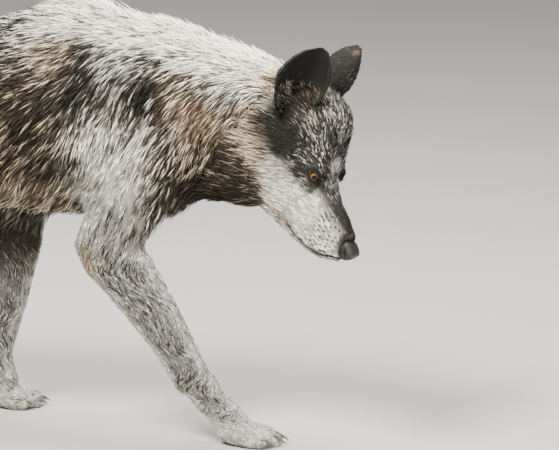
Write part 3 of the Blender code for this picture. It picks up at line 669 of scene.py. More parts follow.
# place and reach in mm, light hairs, dark hairs, share of dark hairs, strength
bodyMarks = [
    ((-350, 0, 655), (300, 100, 60), "white", "coal", 0.84, 1),  # saddle
    ((-350, 110, 520), (220, 90, 110), "tan", "umber", 0.6, 0.8),  # flank
    ((-500, 90, 520), (130, 90, 120), "pale", "brown", 0.48, 0.9),  # haunch
    ((-120, 110, 450), (120, 70, 100), "tan", "umber", 0.68, 1),
    ((-100, 110, 535), (70, 60, 45), "tan", "umber", 0.9, 1),
    ((-50, 100, 415), (22, 50, 28), "brown", "umber", 0.85, 0.9),
    ((-80, 60, 370), (120, 80, 30), "tan", "brown", 0.5, 0.9),  # chest fringe
    ((-150, 0, 345), (300, 50, 30), "sand", "umber", 0.62, 1),  # underside
    ((-18, 90, 605), (46, 50, 36), "tan", "brown", 0.44, 0.95),
    ((26, 100, 562), (30, 50, 64), "grey", "black", 1, 1.2),
    ((77, 90, 600), (55, 60, 45), "white", "coal", 0.6, 1),
    ((75, 90, 530), (35, 60, 40), "pale", "coal", 0.63, 0.8),
    ((128, 90, 535), (34, 50, 36), "pale", "black", 0.9, 1),
    ((174, 80, 545), (30, 50, 34), "sand", "brown", 0.58, 0.95),
    ((205, 90, 505), (36, 50, 42), "tan", "rust", 0.66, 1),
    ((222, 90, 450), (52, 60, 36), "tan", "umber", 0.94, 1),
    ((240, 70, 585), (50, 50, 26), "cream", "coal", 0.22, 0.9),
    ((262, 80, 556), (22, 40, 18), "white", "coal", 0.5, 0.8),
    ((290, 90, 515), (36, 50, 46), "sand", "brown", 0.36, 1),  # ruff
    ((55, 100, 445), (52, 70, 55), "cream", "coal", 0.18, 1),  # pale shoulder
    ((85, 110, 395), (40, 60, 45), "cream", "coal", 0.06, 1),
    ((172, 80, 425), (45, 60, 42), "sand", "umber", 0.48, 1),  # forechest
    # the next two marks, dark below the neck: partly the coat's colour, partly painted shade of the throat
    ((210, 40, 385), (85, 70, 36), "brown", "umber", 0.96, 1),  # under the neck
    ((275, 40, 395), (70, 70, 34), "tan", "umber", 0.94, 1),
    ((285, 70, 462), (40, 50, 34), "sand", "brown", 0.5, 1),
    ((24, 100, 362), (28, 50, 30), "white", "grey", 0.35, 0.9),
    ((67, 120, 352), (26, 50, 24), "white", "coal", 0.52, 0.9),
]
headMarks = [
    ((-64, 52, 66), (10, 14, 7), "white", "coal", 0.45, 0.5),  # pale patch below the ear
    ((-30, 0, 70), (50, 10, 22), "white", "coal", 0.62, 0.5),
    ((-78, 74, 16), (42, 30, 30), "coal", "black", 1, 0.9),  # temple
    ((-112, 70, 34), (24, 24, 26), "brown", "black", 0.95, 0.9),
    ((-96, 44, 78), (24, 26, 20), "brown", "black", 0.97, 1),  # below the hollow of the ear
    ((-112, 50, 74), (6, 10, 10), "tan", "brown", 0.45, 0.9),
    ((1, 5, 27), (10, 8, 10), "cream", "grey", 0.35, 0.7),
    ((-14, 47, -10), (18, 16, 10), "grey", "black", 0.92, 1),  # behind the eye
    ((8, 36, -20), (14, 14, 8), "pale", "black", 0.8, 0.9),
    ((4, 34, 2), (19, 14, 11), "coal", "black", 0.96, 1),  # round the eye
    ((15, 25, -5), (13, 11, 9), "coal", "black", 0.95, 1),  # inner corner: dark fur, partly painted shade of the hollow between eye and bridge
    ((36, 10, -3), (24, 16, 14), "white", "black", 0.88, 1),
    ((62, 6, -8), (24, 14, 12), "grey", "black", 0.86, 1),  # bridge
    ((84, 2, -13), (20, 15, 11), "brown", "black", 0.94, 1),
    ((104, 8, -22), (12, 17, 13), "brown", "black", 0.93, 1),
    ((106, 19, -36), (6, 6, 10), "grey", "black", 0.6, 0.7),
    ((86, 0, -88), (22, 20, 8), "white", "coal", 0.52, 0.9),  # chin
    ((4, 38, -90), (24, 20, 10), "sand", "brown", 0.4, 0.7),  # jaw
    ((24, 33, -82), (5, 12, 4), "pink", "rust", 0.45, 0.8),  # corner of the mouth
    ((-95, 35, -118), (55, 60, 28), "tan", "umber", 0.93, 1),  # throat: dark fur, partly painted shade under the cheek
]
markSizes = {
    "gain": 1.6,  # how flat the middle of each mark is
    "shown": 0.55,  # hair is coloured by where this share of its length reaches
    "rough": ((0.045, 0.016), (0.014, 0.005)),  # size and height of the waves in the marks' edges
    "headRough": 0.35,
    "under": 0.34,  # tone of the skin under the coat, dark partly as the undercoat and partly as painted shade between the tufts
}
topLine = (
    (-0.6, 0.61), (-0.2, 0.645), (-0.05, 0.668), (0, 0.682), (0.09, 0.661),
    (0.182, 0.633), (0.284, 0.616), (0.325, 0.6), (0.42, 0.57),
)
eyeLine = ((-0.12, -0.012), (-0.06, -0.016), (-0.02, -0.006), (0.0, -0.004), (0.02, 0.006), (0.05, 0.030))
cheekLine = ((-0.100, -0.015), (-0.081, -0.032), (-0.061, -0.050), (-0.024, -0.056), (0.006, -0.080))


def hairOf(light, dark, share):
    # the light hairs' colour, the dark ones', and the share of dark ones
    return np.array([*tones[light], *tones[dark], share])


hair = np.tile(hairOf("pale", "coal", 0.50), (len(places), 1))


def lay(weight, light, dark, share):
    # lays one kind of hair over what is there
    wide = np.clip(weight, 0, 1)[:, None]
    hair[:] = hair * (1 - wide) + hairOf(light, dark, share) * wide


def layMarks(points, marks):
    for place, reach, light, dark, share, strength in marks:
        lay(markSizes["gain"] * strength * bell(points, place, reach), light, dark, share)


rough = 0
for step, (size, high) in enumerate(markSizes["rough"]):
    rough = rough + np.column_stack([wander(places, size, 3 * step + k) for k in (1, 2, 3)]) * high
shown = places + flow * (hairLength * markSizes["shown"])[:, None]
markBody, _ = outFromMiddle(toBody(shown) + rough)
markHead = toHead(shown) + (rough @ headAxes.T) * markSizes["headRough"]
markHead[:, 1] = np.abs(markHead[:, 1])

layMarks(markBody, bodyMarks)
below = follow(markBody[:, 0], topLine) - markBody[:, 2]
crest = ease(below, 0.062, 0.030) * ease(markBody[:, 0], -0.17, 0.0)
lay(crest, "cream", "coal", 0.03)
lay(bell(markBody, (318, 30, 585), (22, 40, 22)), "sand", "rust", 0.35)  # behind the ears
lay(bell(markBody, (-20, 0, 690), (30, 30, 14)), "tan", "rust", 0.5)  # on the withers

# tail
tailShare = shareOf("tail")
lay(tailShare, "pale", "coal", 0.52)
lay(tailShare * ease(shown[:, 2], 0.31, 0.25), "coal", "black", 0.95)

# legs: pale front, speckled stripe down the outside, cream behind
for node in limbNodes:
    share = shareOf(node)
    if node.startswith("hind_leg"):
        lay(share * ease(height, 0.30, 0.42), "pale", "brown", 0.45)
        lay(share * ease(height, 0.42, 0.30), "cream", "coal", 0.30)
    elif node.startswith("hind_foot"):
        lay(share, "cream", "coal", 0.20)
    else:
        lay(share, "cream", "coal", 0.30)
        stripe = share * ease(np.abs(normals[:, 0]), 0.72, 0.35) * ease(height, 0.03, 0.07)
        lay(stripe, "white", "coal", 0.68)
        lay(share * ease(normals[:, 0], -0.25, -0.60), "cream", "grey", 0.10)
        inwards = normals[:, 1] * (1 if "right" in node else -1)
        inner = share * ease(height, 0.20, 0.30) * ease(inwards, 0.1, 0.5)
        lay(inner, "brown", "umber", 0.75)
# the tan patch outside the right elbow
for spot in (places, shown):
    lay(1.6 * bell(toBody(spot), (20, -109, 284), (18, 30, 21)), "sand", "brown", 0.32)

# head: a pale face, and a dark ticked upper head that comes down to the eyes
onHead = (headShare[:, 0] * ease(head[:, 0], -0.150, -0.085))[:, None]
kept = hair.copy()
hair[:] = hairOf("cream", "grey", 0.26)
eyeLevel = follow(markHead[:, 0], eyeLine)
lay(ease(markHead[:, 2], eyeLevel - 0.008, eyeLevel + 0.008), "pale", "black", 0.80)
lay(ease(markHead[:, 0], 0.010, 0.040) * 0.9, "cream", "coal", 0.12)
behind = ease(follow(markHead[:, 2], cheekLine) - markHead[:, 0], -0.008, 0.018)
behind *= ease(markHead[:, 2], 0.012, -0.010)
lay(behind, "sand", "brown", 0.40)
# darker still lower down: partly the coat's colour, partly painted shade under the cheek
lay(behind * ease(markHead[:, 2], -0.040, -0.080), "tan", "umber", 0.88)
layMarks(markHead, headMarks)
hair[:] = kept * (1 - onHead) + hair * onHead
# bare dark skin round the eyes, along the lips and round the nose
lay(ease(eyeOutside, 0.0062, 0.0030), "black", "black", 1.0)
lay(ease(lipGap, 0.0034, 0.0016) * onMouth, "black", "black", 1.0)
lay(ease(noseGap, 0.0030, 0.0008), "black", "black", 1.0)

# ears
earShare = shareOf(*earNodes)
lay(earShare, "brown", "black", 0.80)
lay(shareOf("ear_left"), "grey", "black", 0.95)
lay(earShare * ease(head[:, 2], 0.112, 0.134), "coal", "black", 0.85)
lay(hollow, "coal", "black", 1.0)
lay(hollow * bell(markHead, (-98, 45, 72), (10, 16, 8)), "tan", "umber", 0.60)
earFoot = np.maximum(*[bell(points, (-100, 46, 78), (26, 28, 22)) for points in (headOut, markHead)])
lay(1.5 * earFoot * headShare[:, 0] * (head[:, 1] < 0), "rust", "black", 0.86)
lay(bell(head, (-134, 64, 128), (6, 6, 7)), "pink", "rust", 0.20)
# the skin under the coat is the hair's mixed colour, darkened: partly the undercoat, partly painted shade
# between the tufts
darkShare = np.clip(hair[:, 6:], 0, 1)
markColours(skin.data, (hair[:, :3] * (1 - darkShare) + hair[:, 3:6] * darkShare) * markSizes["under"])
print("markings laid")


# materials
def feed(node, values):
    # sets a node's inputs, or links them where another node's output is given
    for name, value in values.items():
        if isinstance(value, bpy.types.NodeSocket):
            node.id_data.links.new(value, node.inputs[name])
        else:
            node.inputs[name].default_value = value


def newMaterial(name, values):
    material = bpy.data.materials.new(name)
    material.use_nodes = True
    shader = material.node_tree.nodes["Principled BSDF"]
    feed(shader, values)
    return material, shader


def addNode(shader, kind, values=None, **settings):
    node = shader.id_data.nodes.new("ShaderNode" + kind)
    for name, value in settings.items():
        setattr(node, name, value)
    feed(node, values or {})
    return node


def textured(shader, kind, values, stretch=None):
    # a texture laid by the item's own places
    place = addNode(shader, "TexCoord").outputs["Object"]
    if stretch:
        place = addNode(shader, "Mapping", {"Vector": place, "Scale": stretch}).outputs["Vector"]
    return addNode(shader, kind, {"Vector": place, **values})


def bumpFrom(shader, source, strength, distance):
    bump = addNode(shader, "Bump", {"Strength": strength, "Distance": distance, "Height": source})
    feed(shader, {"Normal": bump.outputs["Normal"]})


def tintMarks(shader, source, span):
    # the item's markings, made lighter and darker by a texture
    ramp = addNode(shader, "MapRange", {"Value": source, **span})
    marks = addNode(shader, "Attribute", attribute_name="markings")
    inputs = {0: marks.outputs["Color"], "Scale": ramp.outputs["Result"]}
    tint = addNode(shader, "VectorMath", inputs, operation="SCALE")
    feed(shader, {"Base Color": tint.outputs["Vector"]})


def rampColour(shader, source, low, high):
    # a colour between two, by a texture
    ramp = addNode(shader, "ValToRGB", {"Fac": source})
    for stop, colour in zip(ramp.color_ramp.elements, (low, high)):
        stop.color = (*colour, 1)
    feed(shader, {"Base Color": ramp.outputs["Color"]})


furLook = {
    "shader": {"Specular IOR Level": 0.25},
    "tone": {"To Min": 0.70, "To Max": 1.30},
    "stretch": (1.0, 1.0, 0.35),
    "bump": 0.6,
}


def furMaterial(name, roughness, grainSize, bumpHeight):
    material, shader = newMaterial(name, {"Roughness": roughness, **furLook["shader"]})
    grain = textured(shader, "TexNoise", {"Scale": grainSize, "Detail": 2.0}, furLook["stretch"])
    tintMarks(shader, grain.outputs["Fac"], furLook["tone"])
    bumpFrom(shader, grain.outputs["Fac"], furLook["bump"], bumpHeight)
    return material


skinMaterial = furMaterial("shortFurOverSkin", 0.85, 900.0, 0.0015)
coatMaterial = furMaterial("guardHair", 0.62, 500.0, 0.0004)

hideLook = {
    "shader": {"Specular IOR Level": 0.35, "Coat Weight": 0.12, "Coat Roughness": 0.25},
    "cloud": {"Scale": 180.0, "Detail": 4.0},
    "tone": {"From Min": 0.30, "From Max": 0.70, "To Min": 0.45, "To Max": 1.60},
    "bump": 0.7,
}


def darkHide(name, roughness, cell, height):
    # bare pebbled skin, as on the nose and the rims
    material, shader = newMaterial(name, {"Roughness": roughness, **hideLook["shader"]})
    cells = textured(shader, "TexVoronoi", {"Scale": 1 / cell})
    cloud = textured(shader, "TexNoise", hideLook["cloud"])
    tintMarks(shader, cloud.outputs["Fac"], hideLook["tone"])
    bumpFrom(shader, cells.outputs["Distance"], hideLook["bump"], height)
    return material


noseMaterial = darkHide("noseLeather", 0.46, 0.0013, 0.0007)
rimMaterial = darkHide("darkRim", 0.38, 0.0008, 0.0002)
skin.data.materials.append(skinMaterial)
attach(skin, "root")
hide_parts(*partNames)


def finish(item, material, colours=None):
    if colours is not None:
        markColours(item.data, colours)
    item.data.materials.append(material)
    item.data.shade_smooth()


# eyeballs
eyeLook = {
    "shader": {"Roughness": 0.12, "Specular IOR Level": 0.10, "Coat Weight": 0.10, "Coat Roughness": 0.03},
    "rings": (  # cosine of the angle from the way the eye looks, and the colour there
        (0.0, (0.012, 0.008, 0.006)),
        (0.790, (0.010, 0.007, 0.005)),
        (0.830, (0.020, 0.010, 0.004)),
        (0.870, (0.200, 0.050, 0.006)),
        (0.920, (0.420, 0.120, 0.010)),
        (0.950, (0.340, 0.100, 0.010)),
        (0.962, (0.060, 0.020, 0.004)),
        (0.968, (0.002, 0.002, 0.002)),
    ),
    "threads": {"Scale": 700.0, "Detail": 2.0},
    "threading": 0.5,
    "shadow": {"From Min": -0.30, "From Max": 0.20, "To Min": 0.22},  # painted shadow of the brow over the upper inner part of the iris
}


def eyeMaterial(name, spot, facing, lit):
    # iris and pupil by the angle from the way the eye looks, with a painted shadow of the brow over the upper
    # inner part
    material, shader = newMaterial(name, eyeLook["shader"])

    def vectorMath(operation, *inputs):
        return addNode(shader, "VectorMath", dict(enumerate(inputs)), operation=operation).outputs

    centre = vectorMath("SUBTRACT", addNode(shader, "TexCoord").outputs["Object"], spot)["Vector"]
    way = vectorMath("NORMALIZE", centre)["Vector"]
    rings = addNode(shader, "ValToRGB", {"Fac": vectorMath("DOT_PRODUCT", way, facing)["Value"]})
    stops = rings.color_ramp.elements
    stops.remove(stops[1])
    for number, (position, colour) in enumerate(eyeLook["rings"]):
        stop = stops.new(position) if number else stops[0]
        stop.position, stop.color = position, (*colour, 1)
    threads = textured(shader, "TexNoise", eyeLook["threads"])
    # painted shade: the iris is darkened towards the brow, as if in its shadow
    under = {"Value": vectorMath("DOT_PRODUCT", way, lit)["Value"], **eyeLook["shadow"]}
    paintedBrowShadow = addNode(shader, "MapRange", under, interpolation_type="SMOOTHSTEP")
    inputs = {0: rings.outputs["Color"], "Scale": paintedBrowShadow.outputs["Result"]}
    dimmed = addNode(shader, "VectorMath", inputs, operation="SCALE")
    inputs = {"Factor": eyeLook["threading"], "A": dimmed.outputs["Vector"], "B": threads.outputs["Fac"]}
    blend = addNode(shader, "Mix", inputs, data_type="RGBA", blend_type="MULTIPLY")
    feed(shader, {"Base Color": blend.outputs["Result"]})
    return material


def makeEye(name, spot, axes):
    facing, corner, above = axes
    sphere = {"segments": 48, "ring_count": 32, "radius": eyeRadius}
    ball = newShape("eyeball_" + name, bpy.ops.mesh.primitive_uv_sphere_add, **sphere)
    points = pointsOf(ball.data)
    out = points[:, 2] / eyeRadius  # the poles look along Z until the ball is turned
    points *= (1 + eyeSizes["cornea"] * ease(out, 0.84, 0.96))[:, None]
    placePoints(ball.data, points @ np.array([corner, np.cross(facing, corner), facing]) + spot)
    ways = (eyeSizes["look"], eyeSizes["shadow"])
    look, lit = (unit(facing * a + corner * b + above * c) for a, b, c in ways)
    finish(ball, eyeMaterial("eye_" + name, spot, look, lit))
    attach(ball, "root")
    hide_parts("eye_" + name)

    # wet dark rim along the opening
    torus = {"major_segments": 72, "minor_segments": 10, "major_radius": 1.0, "minor_radius": 0.25}
    rim = newShape("lid_rim_" + name, bpy.ops.mesh.primitive_torus_add, **torus)
    points = pointsOf(rim.data)
    around = np.arctan2(points[:, 1], points[:, 0])
    outward = (np.hypot(points[:, 0], points[:, 1]) - 1) / torus["minor_radius"]
    lift = points[:, 2] / torus["minor_radius"]
    across = np.cos(around) * eyeSizes["halfWidth"] * 1.02
    height = np.sign(np.sin(around)) * lidHeight(across * 0.999, np.sin(around))
    reach = np.hypot(across, height)
    reach += outward * eyeSizes["rim"] * 1.3 + 0.0003
    angle = np.arctan2(height, across)
    turnBy = reach / eyeRadius
    way = np.outer(np.cos(turnBy), facing) + (np.sin(turnBy) * np.cos(angle))[:, None] * corner
    way += (np.sin(turnBy) * np.sin(angle))[:, None] * above
    far = eyeRadius + 0.0008 + lift * eyeSizes["rim"]
    placePoints(rim.data, spot + way * far[:, None])
    editAll(rim, bpy.ops.mesh.normals_make_consistent, inside=False)
    finish(rim, rimMaterial, lipSizes["tone"])
    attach(rim, "root")


for name, spot, axes in eyes:
    makeEye(name, spot, axes)


# nose pad
def makeNose():
    sphere = {"segments": 96, "ring_count": 64, "radius": 1.0}
    nose = newShape("nose_pad", bpy.ops.mesh.primitive_uv_sphere_add, **sphere)
    ball = pointsOf(nose.data)
    ball /= (np.abs(ball) ** power).sum(1, keepdims=True) ** (1 / power)
    x, y, z = ball.T
    pad = np.column_stack([x, np.abs(y), z])
    shrink = 1 - noseSizes["flatTop"] * ease(z, 0.35, 0.95)
    shrink -= noseSizes["bluntFront"] * ease(x, 0.75, 1.0)
    nostril = hump(pad, *noseSizes["nostrilAt"])
    slit = ridge(z + 0.10 + 0.5 * (x - 0.5), 0, 0.13)
    slit *= ease(pad[:, 1], 0.60, 0.78) * ease(x, -0.35, 0.05)
    parting = ridge(y, 0, 0.055) * ease(x, 0.35, 0.7) * ease(z, 0.45, 0.1)
    wing = hump(pad[:, 1:], *noseSizes["wingAt"]) * ease(x, 0.1, 0.5)
    points = ball * np.array(noseSizes["radii"]) * (shrink + noseSizes["wing"] * wing)[:, None]
    depth = noseSizes["nostril"] * nostril + noseSizes["slit"] * slit + noseSizes["parting"] * parting
    points -= unit(ball) * depth[:, None]
    tilt = math.radians(noseSizes["tilt"])
    turned = points.copy()
    turned[:, 0] = points[:, 0] * math.cos(tilt) + points[:, 2] * math.sin(tilt)
    turned[:, 2] = -points[:, 0] * math.sin(tilt) + points[:, 2] * math.cos(tilt)
    placePoints(nose.data, fromHead(turned + noseHome))
    # painted shade in the nostrils, the slit and the parting
    shadedHollows = np.clip(nostril + slit + 0.7 * parting, 0, 1)[:, None]
    finish(nose, noseMaterial, (1 - noseSizes["hollowShade"] * shadedHollows) * np.array([noseSizes["tone"]]))
    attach(nose, "root")
    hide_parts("nose")


makeNose()


# lips: a thin dark line round the muzzle, sunk in the groove
def makeLips():
    tree = BVHTree.FromPolygons([Vector(p) for p in pointsOf(skin.data)], trianglesOf(skin.data).tolist())

    def hitsFrom(starts, way):
        # where straight lines from these places in the head's frame meet the skin
        way = Vector(np.array(way) @ headAxes)
        hits = [tree.ray_cast(Vector(fromHead([start])[0]), way)[0] for start in starts]
        return [np.array(hit) for hit in hits if hit is not None]

    levels = [(x, follow(x, lipLine)) for x in np.linspace(0.026, 0.115, 30)]
    right, left = (hitsFrom([(x, out * 0.09, z) for x, z in levels], (0, -out, 0)) for out in (-1, 1))
    front = hitsFrom([(0.17, y, -0.0550) for y in np.linspace(-0.009, 0.009, 9)], (-1, 0, 0))
    points = np.array(right + front + left[::-1])
    for _ in range(3):
        points[1:-1] = (points[:-2] + 2 * points[1:-1] + points[2:]) / 4
    bm = bmesh.new()
    rings = []
    middle = fromHead([[0.06, 0, -0.075]])[0]
    last = len(points) - 1
    for k, point in enumerate(points):
        along = unit(points[min(k + 1, last)] - points[max(k - 1, 0)])
        outward = point - middle
        outward = unit(outward - along * (outward @ along))
        sideways = np.cross(along, outward)
        thick = lipSizes["line"] * min(1.0, 0.35 + min(k, last - k) / 6)
        ring = []
        for angle in np.arange(8) * math.tau / 8:
            spot = point - outward * lipSizes["sunk"]
            spot = spot + outward * thick * math.sin(angle) + sideways * thick * math.cos(angle)
            ring.append(bm.verts.new(spot))
        rings.append(ring)
    for a, b in zip(rings, rings[1:]):
        for n in range(8):
            bm.faces.new((a[n], a[(n + 1) % 8], b[(n + 1) % 8], b[n]))
    bm.faces.new(rings[0][::-1])
    bm.faces.new(rings[-1])
    bmesh.ops.recalc_face_normals(bm, faces=bm.faces)
    lips = addItem("lip_line", bpy.data.meshes.new("lip_line"))
    bm.to_mesh(lips.data)
    bm.free()
    finish(lips, rimMaterial, lipSizes["tone"])
    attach(lips, "root")


makeLips()
print("eyes, nose and lips made")

# claws: the frame's own solids with a horn finish
hornLook = {
    "shader": {"Roughness": 0.38},
    "streak": {"Scale": 60.0, "Detail": 4.0},
    "stretch": (1.0, 1.0, 6.0),
    "tones": ((0.020, 0.015, 0.012), (0.140, 0.105, 0.075)),
    "bump": (0.4, 0.0004),
}


def hornMaterial():
    material, shader = newMaterial("clawHorn", hornLook["shader"])
    streak = textured(shader, "TexNoise", hornLook["streak"], hornLook["stretch"]).outputs["Fac"]
    rampColour(shader, streak, *hornLook["tones"])
    bumpFrom(shader, streak, *hornLook["bump"])
    return material


claw = hornMaterial()
for node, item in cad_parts.items():
    if "claw" in node:
        item.data.materials.clear()
        item.data.materials.append(claw)

# coat
coatSizes = {
    "thinnest": 0.0018,
    "slender": 0.020,  # more width for each bit of length
    "faceSlender": 0.22,  # how much narrower the tufts of the face are
    "patch": 0.0030,  # each tuft's patch on the bake map
    "unwrap": {"angle_limit": math.radians(66), "island_margin": 0.004},
    "twoStepFrom": 0.030,  # longer tufts bend in the middle
    "hollowBare": 0.72,  # how many tufts the hollow of the ear does without
    # least share, and what chance adds
    "vary": {"length": (0.75, 0.5), "width": (0.7, 0.6), "lift": (0.55, 0.9), "droop": (0.5, 0.8)},
    "swirl": 0.12,
    "wide": (0.50, 0.46),  # half the width, at the root and at the bend
    "section": ((1.0, -0.2), (-1.0, -0.2), (0.0, 0.75)),
    "bendTone": (0.35, 0.65),  # of the root's and of the tip's
    "sunk": (0.0004, 0.02),  # how deep the roots are, and how much deeper for each bit of length
    "floor": 0.0003,  # nothing reaches below the floor
    "tone": (0.48, 0.32, 0.52),  # least tone, what chance adds, and what the raised lock adds as painted light
    "rootTone": (0.62, 0.35),  # and how much darker the roots of dark hair are; the dark roots are partly the hair's own banding, partly painted shade deep in the coat
    "tipTone": 1.12,
    "lockLift": (0.55, 0.90),  # least lift, and what the lock adds
    "dotLift": 1.8,  # the whisker spots lie on top
    "clump": 0.22,  # how much wider patches of pale and dark count
    "edge": 0.12,  # how softly pale and dark part
    "skullFrom": -0.005,  # where the pieces part, forward from the eyes and from the withers
    "flanksFrom": -0.09,
    "rumpFrom": -0.33,
    "triangles": {
        "coat_face": 120000, "coat_skull": 120000, "coat_neck": 150000, "coat_shoulders": 185000,
        "coat_flanks": 135000, "coat_rump": 120000, "coat_tail": 70000, "coat_ears": 40000,
        "coat_foreleg_right": 150000, "coat_foreleg_left": 120000,
        "coat_hind_leg_right": 130000, "coat_hind_leg_left": 130000,
    },
}
skinPlaces = pointsOf(skin.data)
triangles = trianglesOf(skin.data)
corners = skinPlaces[triangles]
faceSides = corners[:, 1:] - corners[:, :1]
faceArea = np.linalg.norm(np.cross(faceSides[:, 0], faceSides[:, 1]), axis=1) / 2
hairWidth = coatSizes["thinnest"] + coatSizes["slender"] * hairLength
hairWidth *= 1 - coatSizes["faceSlender"] * ease(head[:, 0], -0.03, 0.05) * headShare[:, 0]
bare = ease(eyeOutside, 0.0010, 0.0030) * ease(lipGap, 0.0008, 0.0020)
bare *= ease(noseGap, 0.0002, 0.0020)
bare *= 1 - coatSizes["hollowBare"] * hollow * ease(head[:, 2], 0.07, 0.10)
bare *= ease(skinPlaces[:, 2], 0.002, 0.006)
perArea = 1 / (hairWidth * hairLength) * bare


def pieceOfFaces():
    # which coat piece each face of the skin belongs to
    spot = skinPlaces[triangles].mean(1)
    labels = ["coat_" + node.replace("foot", "leg") for node in fleshNodes] + ["coat_ears"] * 2
    names = np.array(labels, dtype=object)[owner[triangles[:, 0]]]
    onHead = (names == "coat_head") | (names == "coat_lower_jaw")
    names[onHead] = np.where(toHead(spot)[onHead, 0] > coatSizes["skullFrom"], "coat_face", "coat_skull")
    onTrunk = names == "coat_trunk"
    x = toBody(spot)[onTrunk, 0]
    behind = np.where(x > coatSizes["rumpFrom"], "coat_flanks", "coat_rump")
    names[onTrunk] = np.where(x > coatSizes["flanksFrom"], "coat_shoulders", behind)
    return names


def unwrap(faces):
    # a flat layout of part of the skin, one corner place for each face corner
    used, numbers = np.unique(faces, return_inverse=True)
    mesh = bpy.data.meshes.new("layout")
    mesh.from_pydata(skinPlaces[used].tolist(), [], numbers.reshape(-1, 3).tolist())
    item = addItem("layout", mesh)
    editAll(item, bpy.ops.uv.smart_project, **coatSizes["unwrap"])
    flat = np.empty(len(mesh.loops) * 2)
    mesh.uv_layers[0].data.foreach_get("uv", flat)
    bpy.data.objects.remove(item)
    return flat.reshape(-1, 3, 2)


def tuftShape(steps):
    # faces of one tuft, and where each face corner lies on its patch of the bake map
    faces, flat = [(0, 2, 1)], [(-1, -1), (-0.9, -1), (-0.95, -0.9)]
    for ring in range(steps - 1):
        for k in range(3):
            a, b = ring * 3 + k, ring * 3 + (k + 1) % 3
            left, right = -1 + 2 * k / 3, -1 + 2 * (k + 1) / 3
            low, high = -1 + 2 * ring / steps, -1 + 2 * (ring + 1) / steps
            faces += [(a, b, b + 3), (a, b + 3, a + 3)]
            flat += [(left, low), (right, low), (right, high), (left, low), (right, high), (left, high)]
    last = (steps - 1) * 3
    for k in range(3):
        left, right = -1 + 2 * k / 3, -1 + 2 * (k + 1) / 3
        low = -1 + 2 * (steps - 1) / steps
        faces.append((last + k, last + (k + 1) % 3, last + 3))
        flat += [(left, low), (right, low), ((left + right) / 2, 1)]
    return np.array(faces), np.array(flat)


def growTufts(steps, root, normal, along, length, width, lift, droop, sunk, rootTone, tipTone):
    # points and colours of many closed tufts, each a flattened three-sided spike
    across = unit(np.cross(normal, along))
    rise = np.cos(lift)[:, None] * along + np.sin(lift)[:, None] * normal
    late = lift - droop
    fall = np.cos(late)[:, None] * along + np.sin(late)[:, None] * normal
    over = np.cross(rise, across) * -1
    over = np.where((over * normal).sum(1, keepdims=True) < 0, -over, over)
    start = root - normal * sunk[:, None]
    rings, shades = [], []
    for ring in range(steps):
        share = ring / steps
        centre = start + rise * (length * share)[:, None]
        wide = (width * coatSizes["wide"][ring])[:, None]
        ofRoot, ofTip = coatSizes["bendTone"]
        for a, b in coatSizes["section"]:
            rings.append(centre + across * wide * a + over * wide * b)
            shades.append(rootTone * ofRoot + tipTone * ofTip if ring else rootTone)
    tip = start + rise * (length * (steps - 1) / steps)[:, None] + fall * (length / steps)[:, None]
    rings.append(tip)
    shades.append(tipTone)
    points = np.stack(rings, 1)
    points[:, :, 2] = np.maximum(points[:, :, 2], coatSizes["floor"])
    return points, np.stack(shades, 1)


def joinTufts(points, shades, steps, spots, first):
    # the same as lists of points, colours, faces that count on from the first, and places on the bake map
    faces, flat = tuftShape(steps)
    fan = points[0][faces] - points[0][0]
    if (np.cross(fan[:, 0], fan[:, 1]) * fan[:, 2]).sum() < 0:
        faces = faces[:, ::-1]
        flat = flat.reshape(-1, 3, 2)[:, ::-1].reshape(-1, 2)
    starts = first + np.arange(points.shape[0]) * points.shape[1]
    allFaces = (faces[None] + starts[:, None, None]).reshape(-1, 3)
    patches = spots[:, None, :] + flat[None] * coatSizes["patch"] / 2
    return points.reshape(-1, 3), shades.reshape(-1, 3), allFaces, patches.reshape(-1, 2)


lockSizes = {
    "head": 0.0013, "leg": 0.0020, "body": 0.0037,
    "long": 0.55,  # as a share of the hair
    "high": 1.4,  # how much larger the locks are that lie higher and, as painted light, paler
    # how much chance decides which hairs are dark, and not the lock
    "loose": {"head": 0.70, "leg": 0.70, "body": 0.48},
}


def quickNoise(points, size, seed):
    # smooth noise from 0 to 1 for very many points
    scaled = points / size + 1000.0
    cell = np.floor(scaled).astype(np.int64)
    part = scaled - cell
    part = part * part * (3 - 2 * part)
    total = np.zeros(len(points))
    for corner in range(8):
        step = np.array([corner & 1, corner >> 1 & 1, corner >> 2 & 1])
        key = (cell + step) @ np.array([73856093, 19349663, 83492791]) + seed * 9176543
        key = (key ^ (key >> 13)) * 1274126177
        value = ((key ^ (key >> 16)) & 0xFFFF) / 0xFFFF
        total += value * np.where(step > 0, part, 1 - part).prod(1)
    return total


def evenly(values):
    # the same order, spread evenly from 0 to 1
    rank = np.empty(len(values))
    rank[np.argsort(values)] = np.arange(len(values)) / len(values)
    return rank


def lockOf(root, along, length, size, seed):
    # noise drawn out along the hair, so that neighbouring tufts form locks
    total = 0
    for step in (-2, -1, 0, 1, 2):
        ahead = along * (length * lockSizes["long"] * step / 2)[:, None]
        total = total + quickNoise(root + ahead, size, seed)
    return evenly(total)


whiskerBed = {
    "along": (0.050, 0.108),  # where it lies, in the head's frame
    "up": (-0.084, -0.020),
    "out": 0.010,
    "slope": 0.22,
    "row": 0.0070,
    "gap": 0.0084,
    "shift": 0.37,  # from row to row, as a share of the gap
    "stray": 0.0013,
    "dot": 0.0014,
    "reach": 0.6,  # a tuft is dark if this share of its length ends on a dot
}


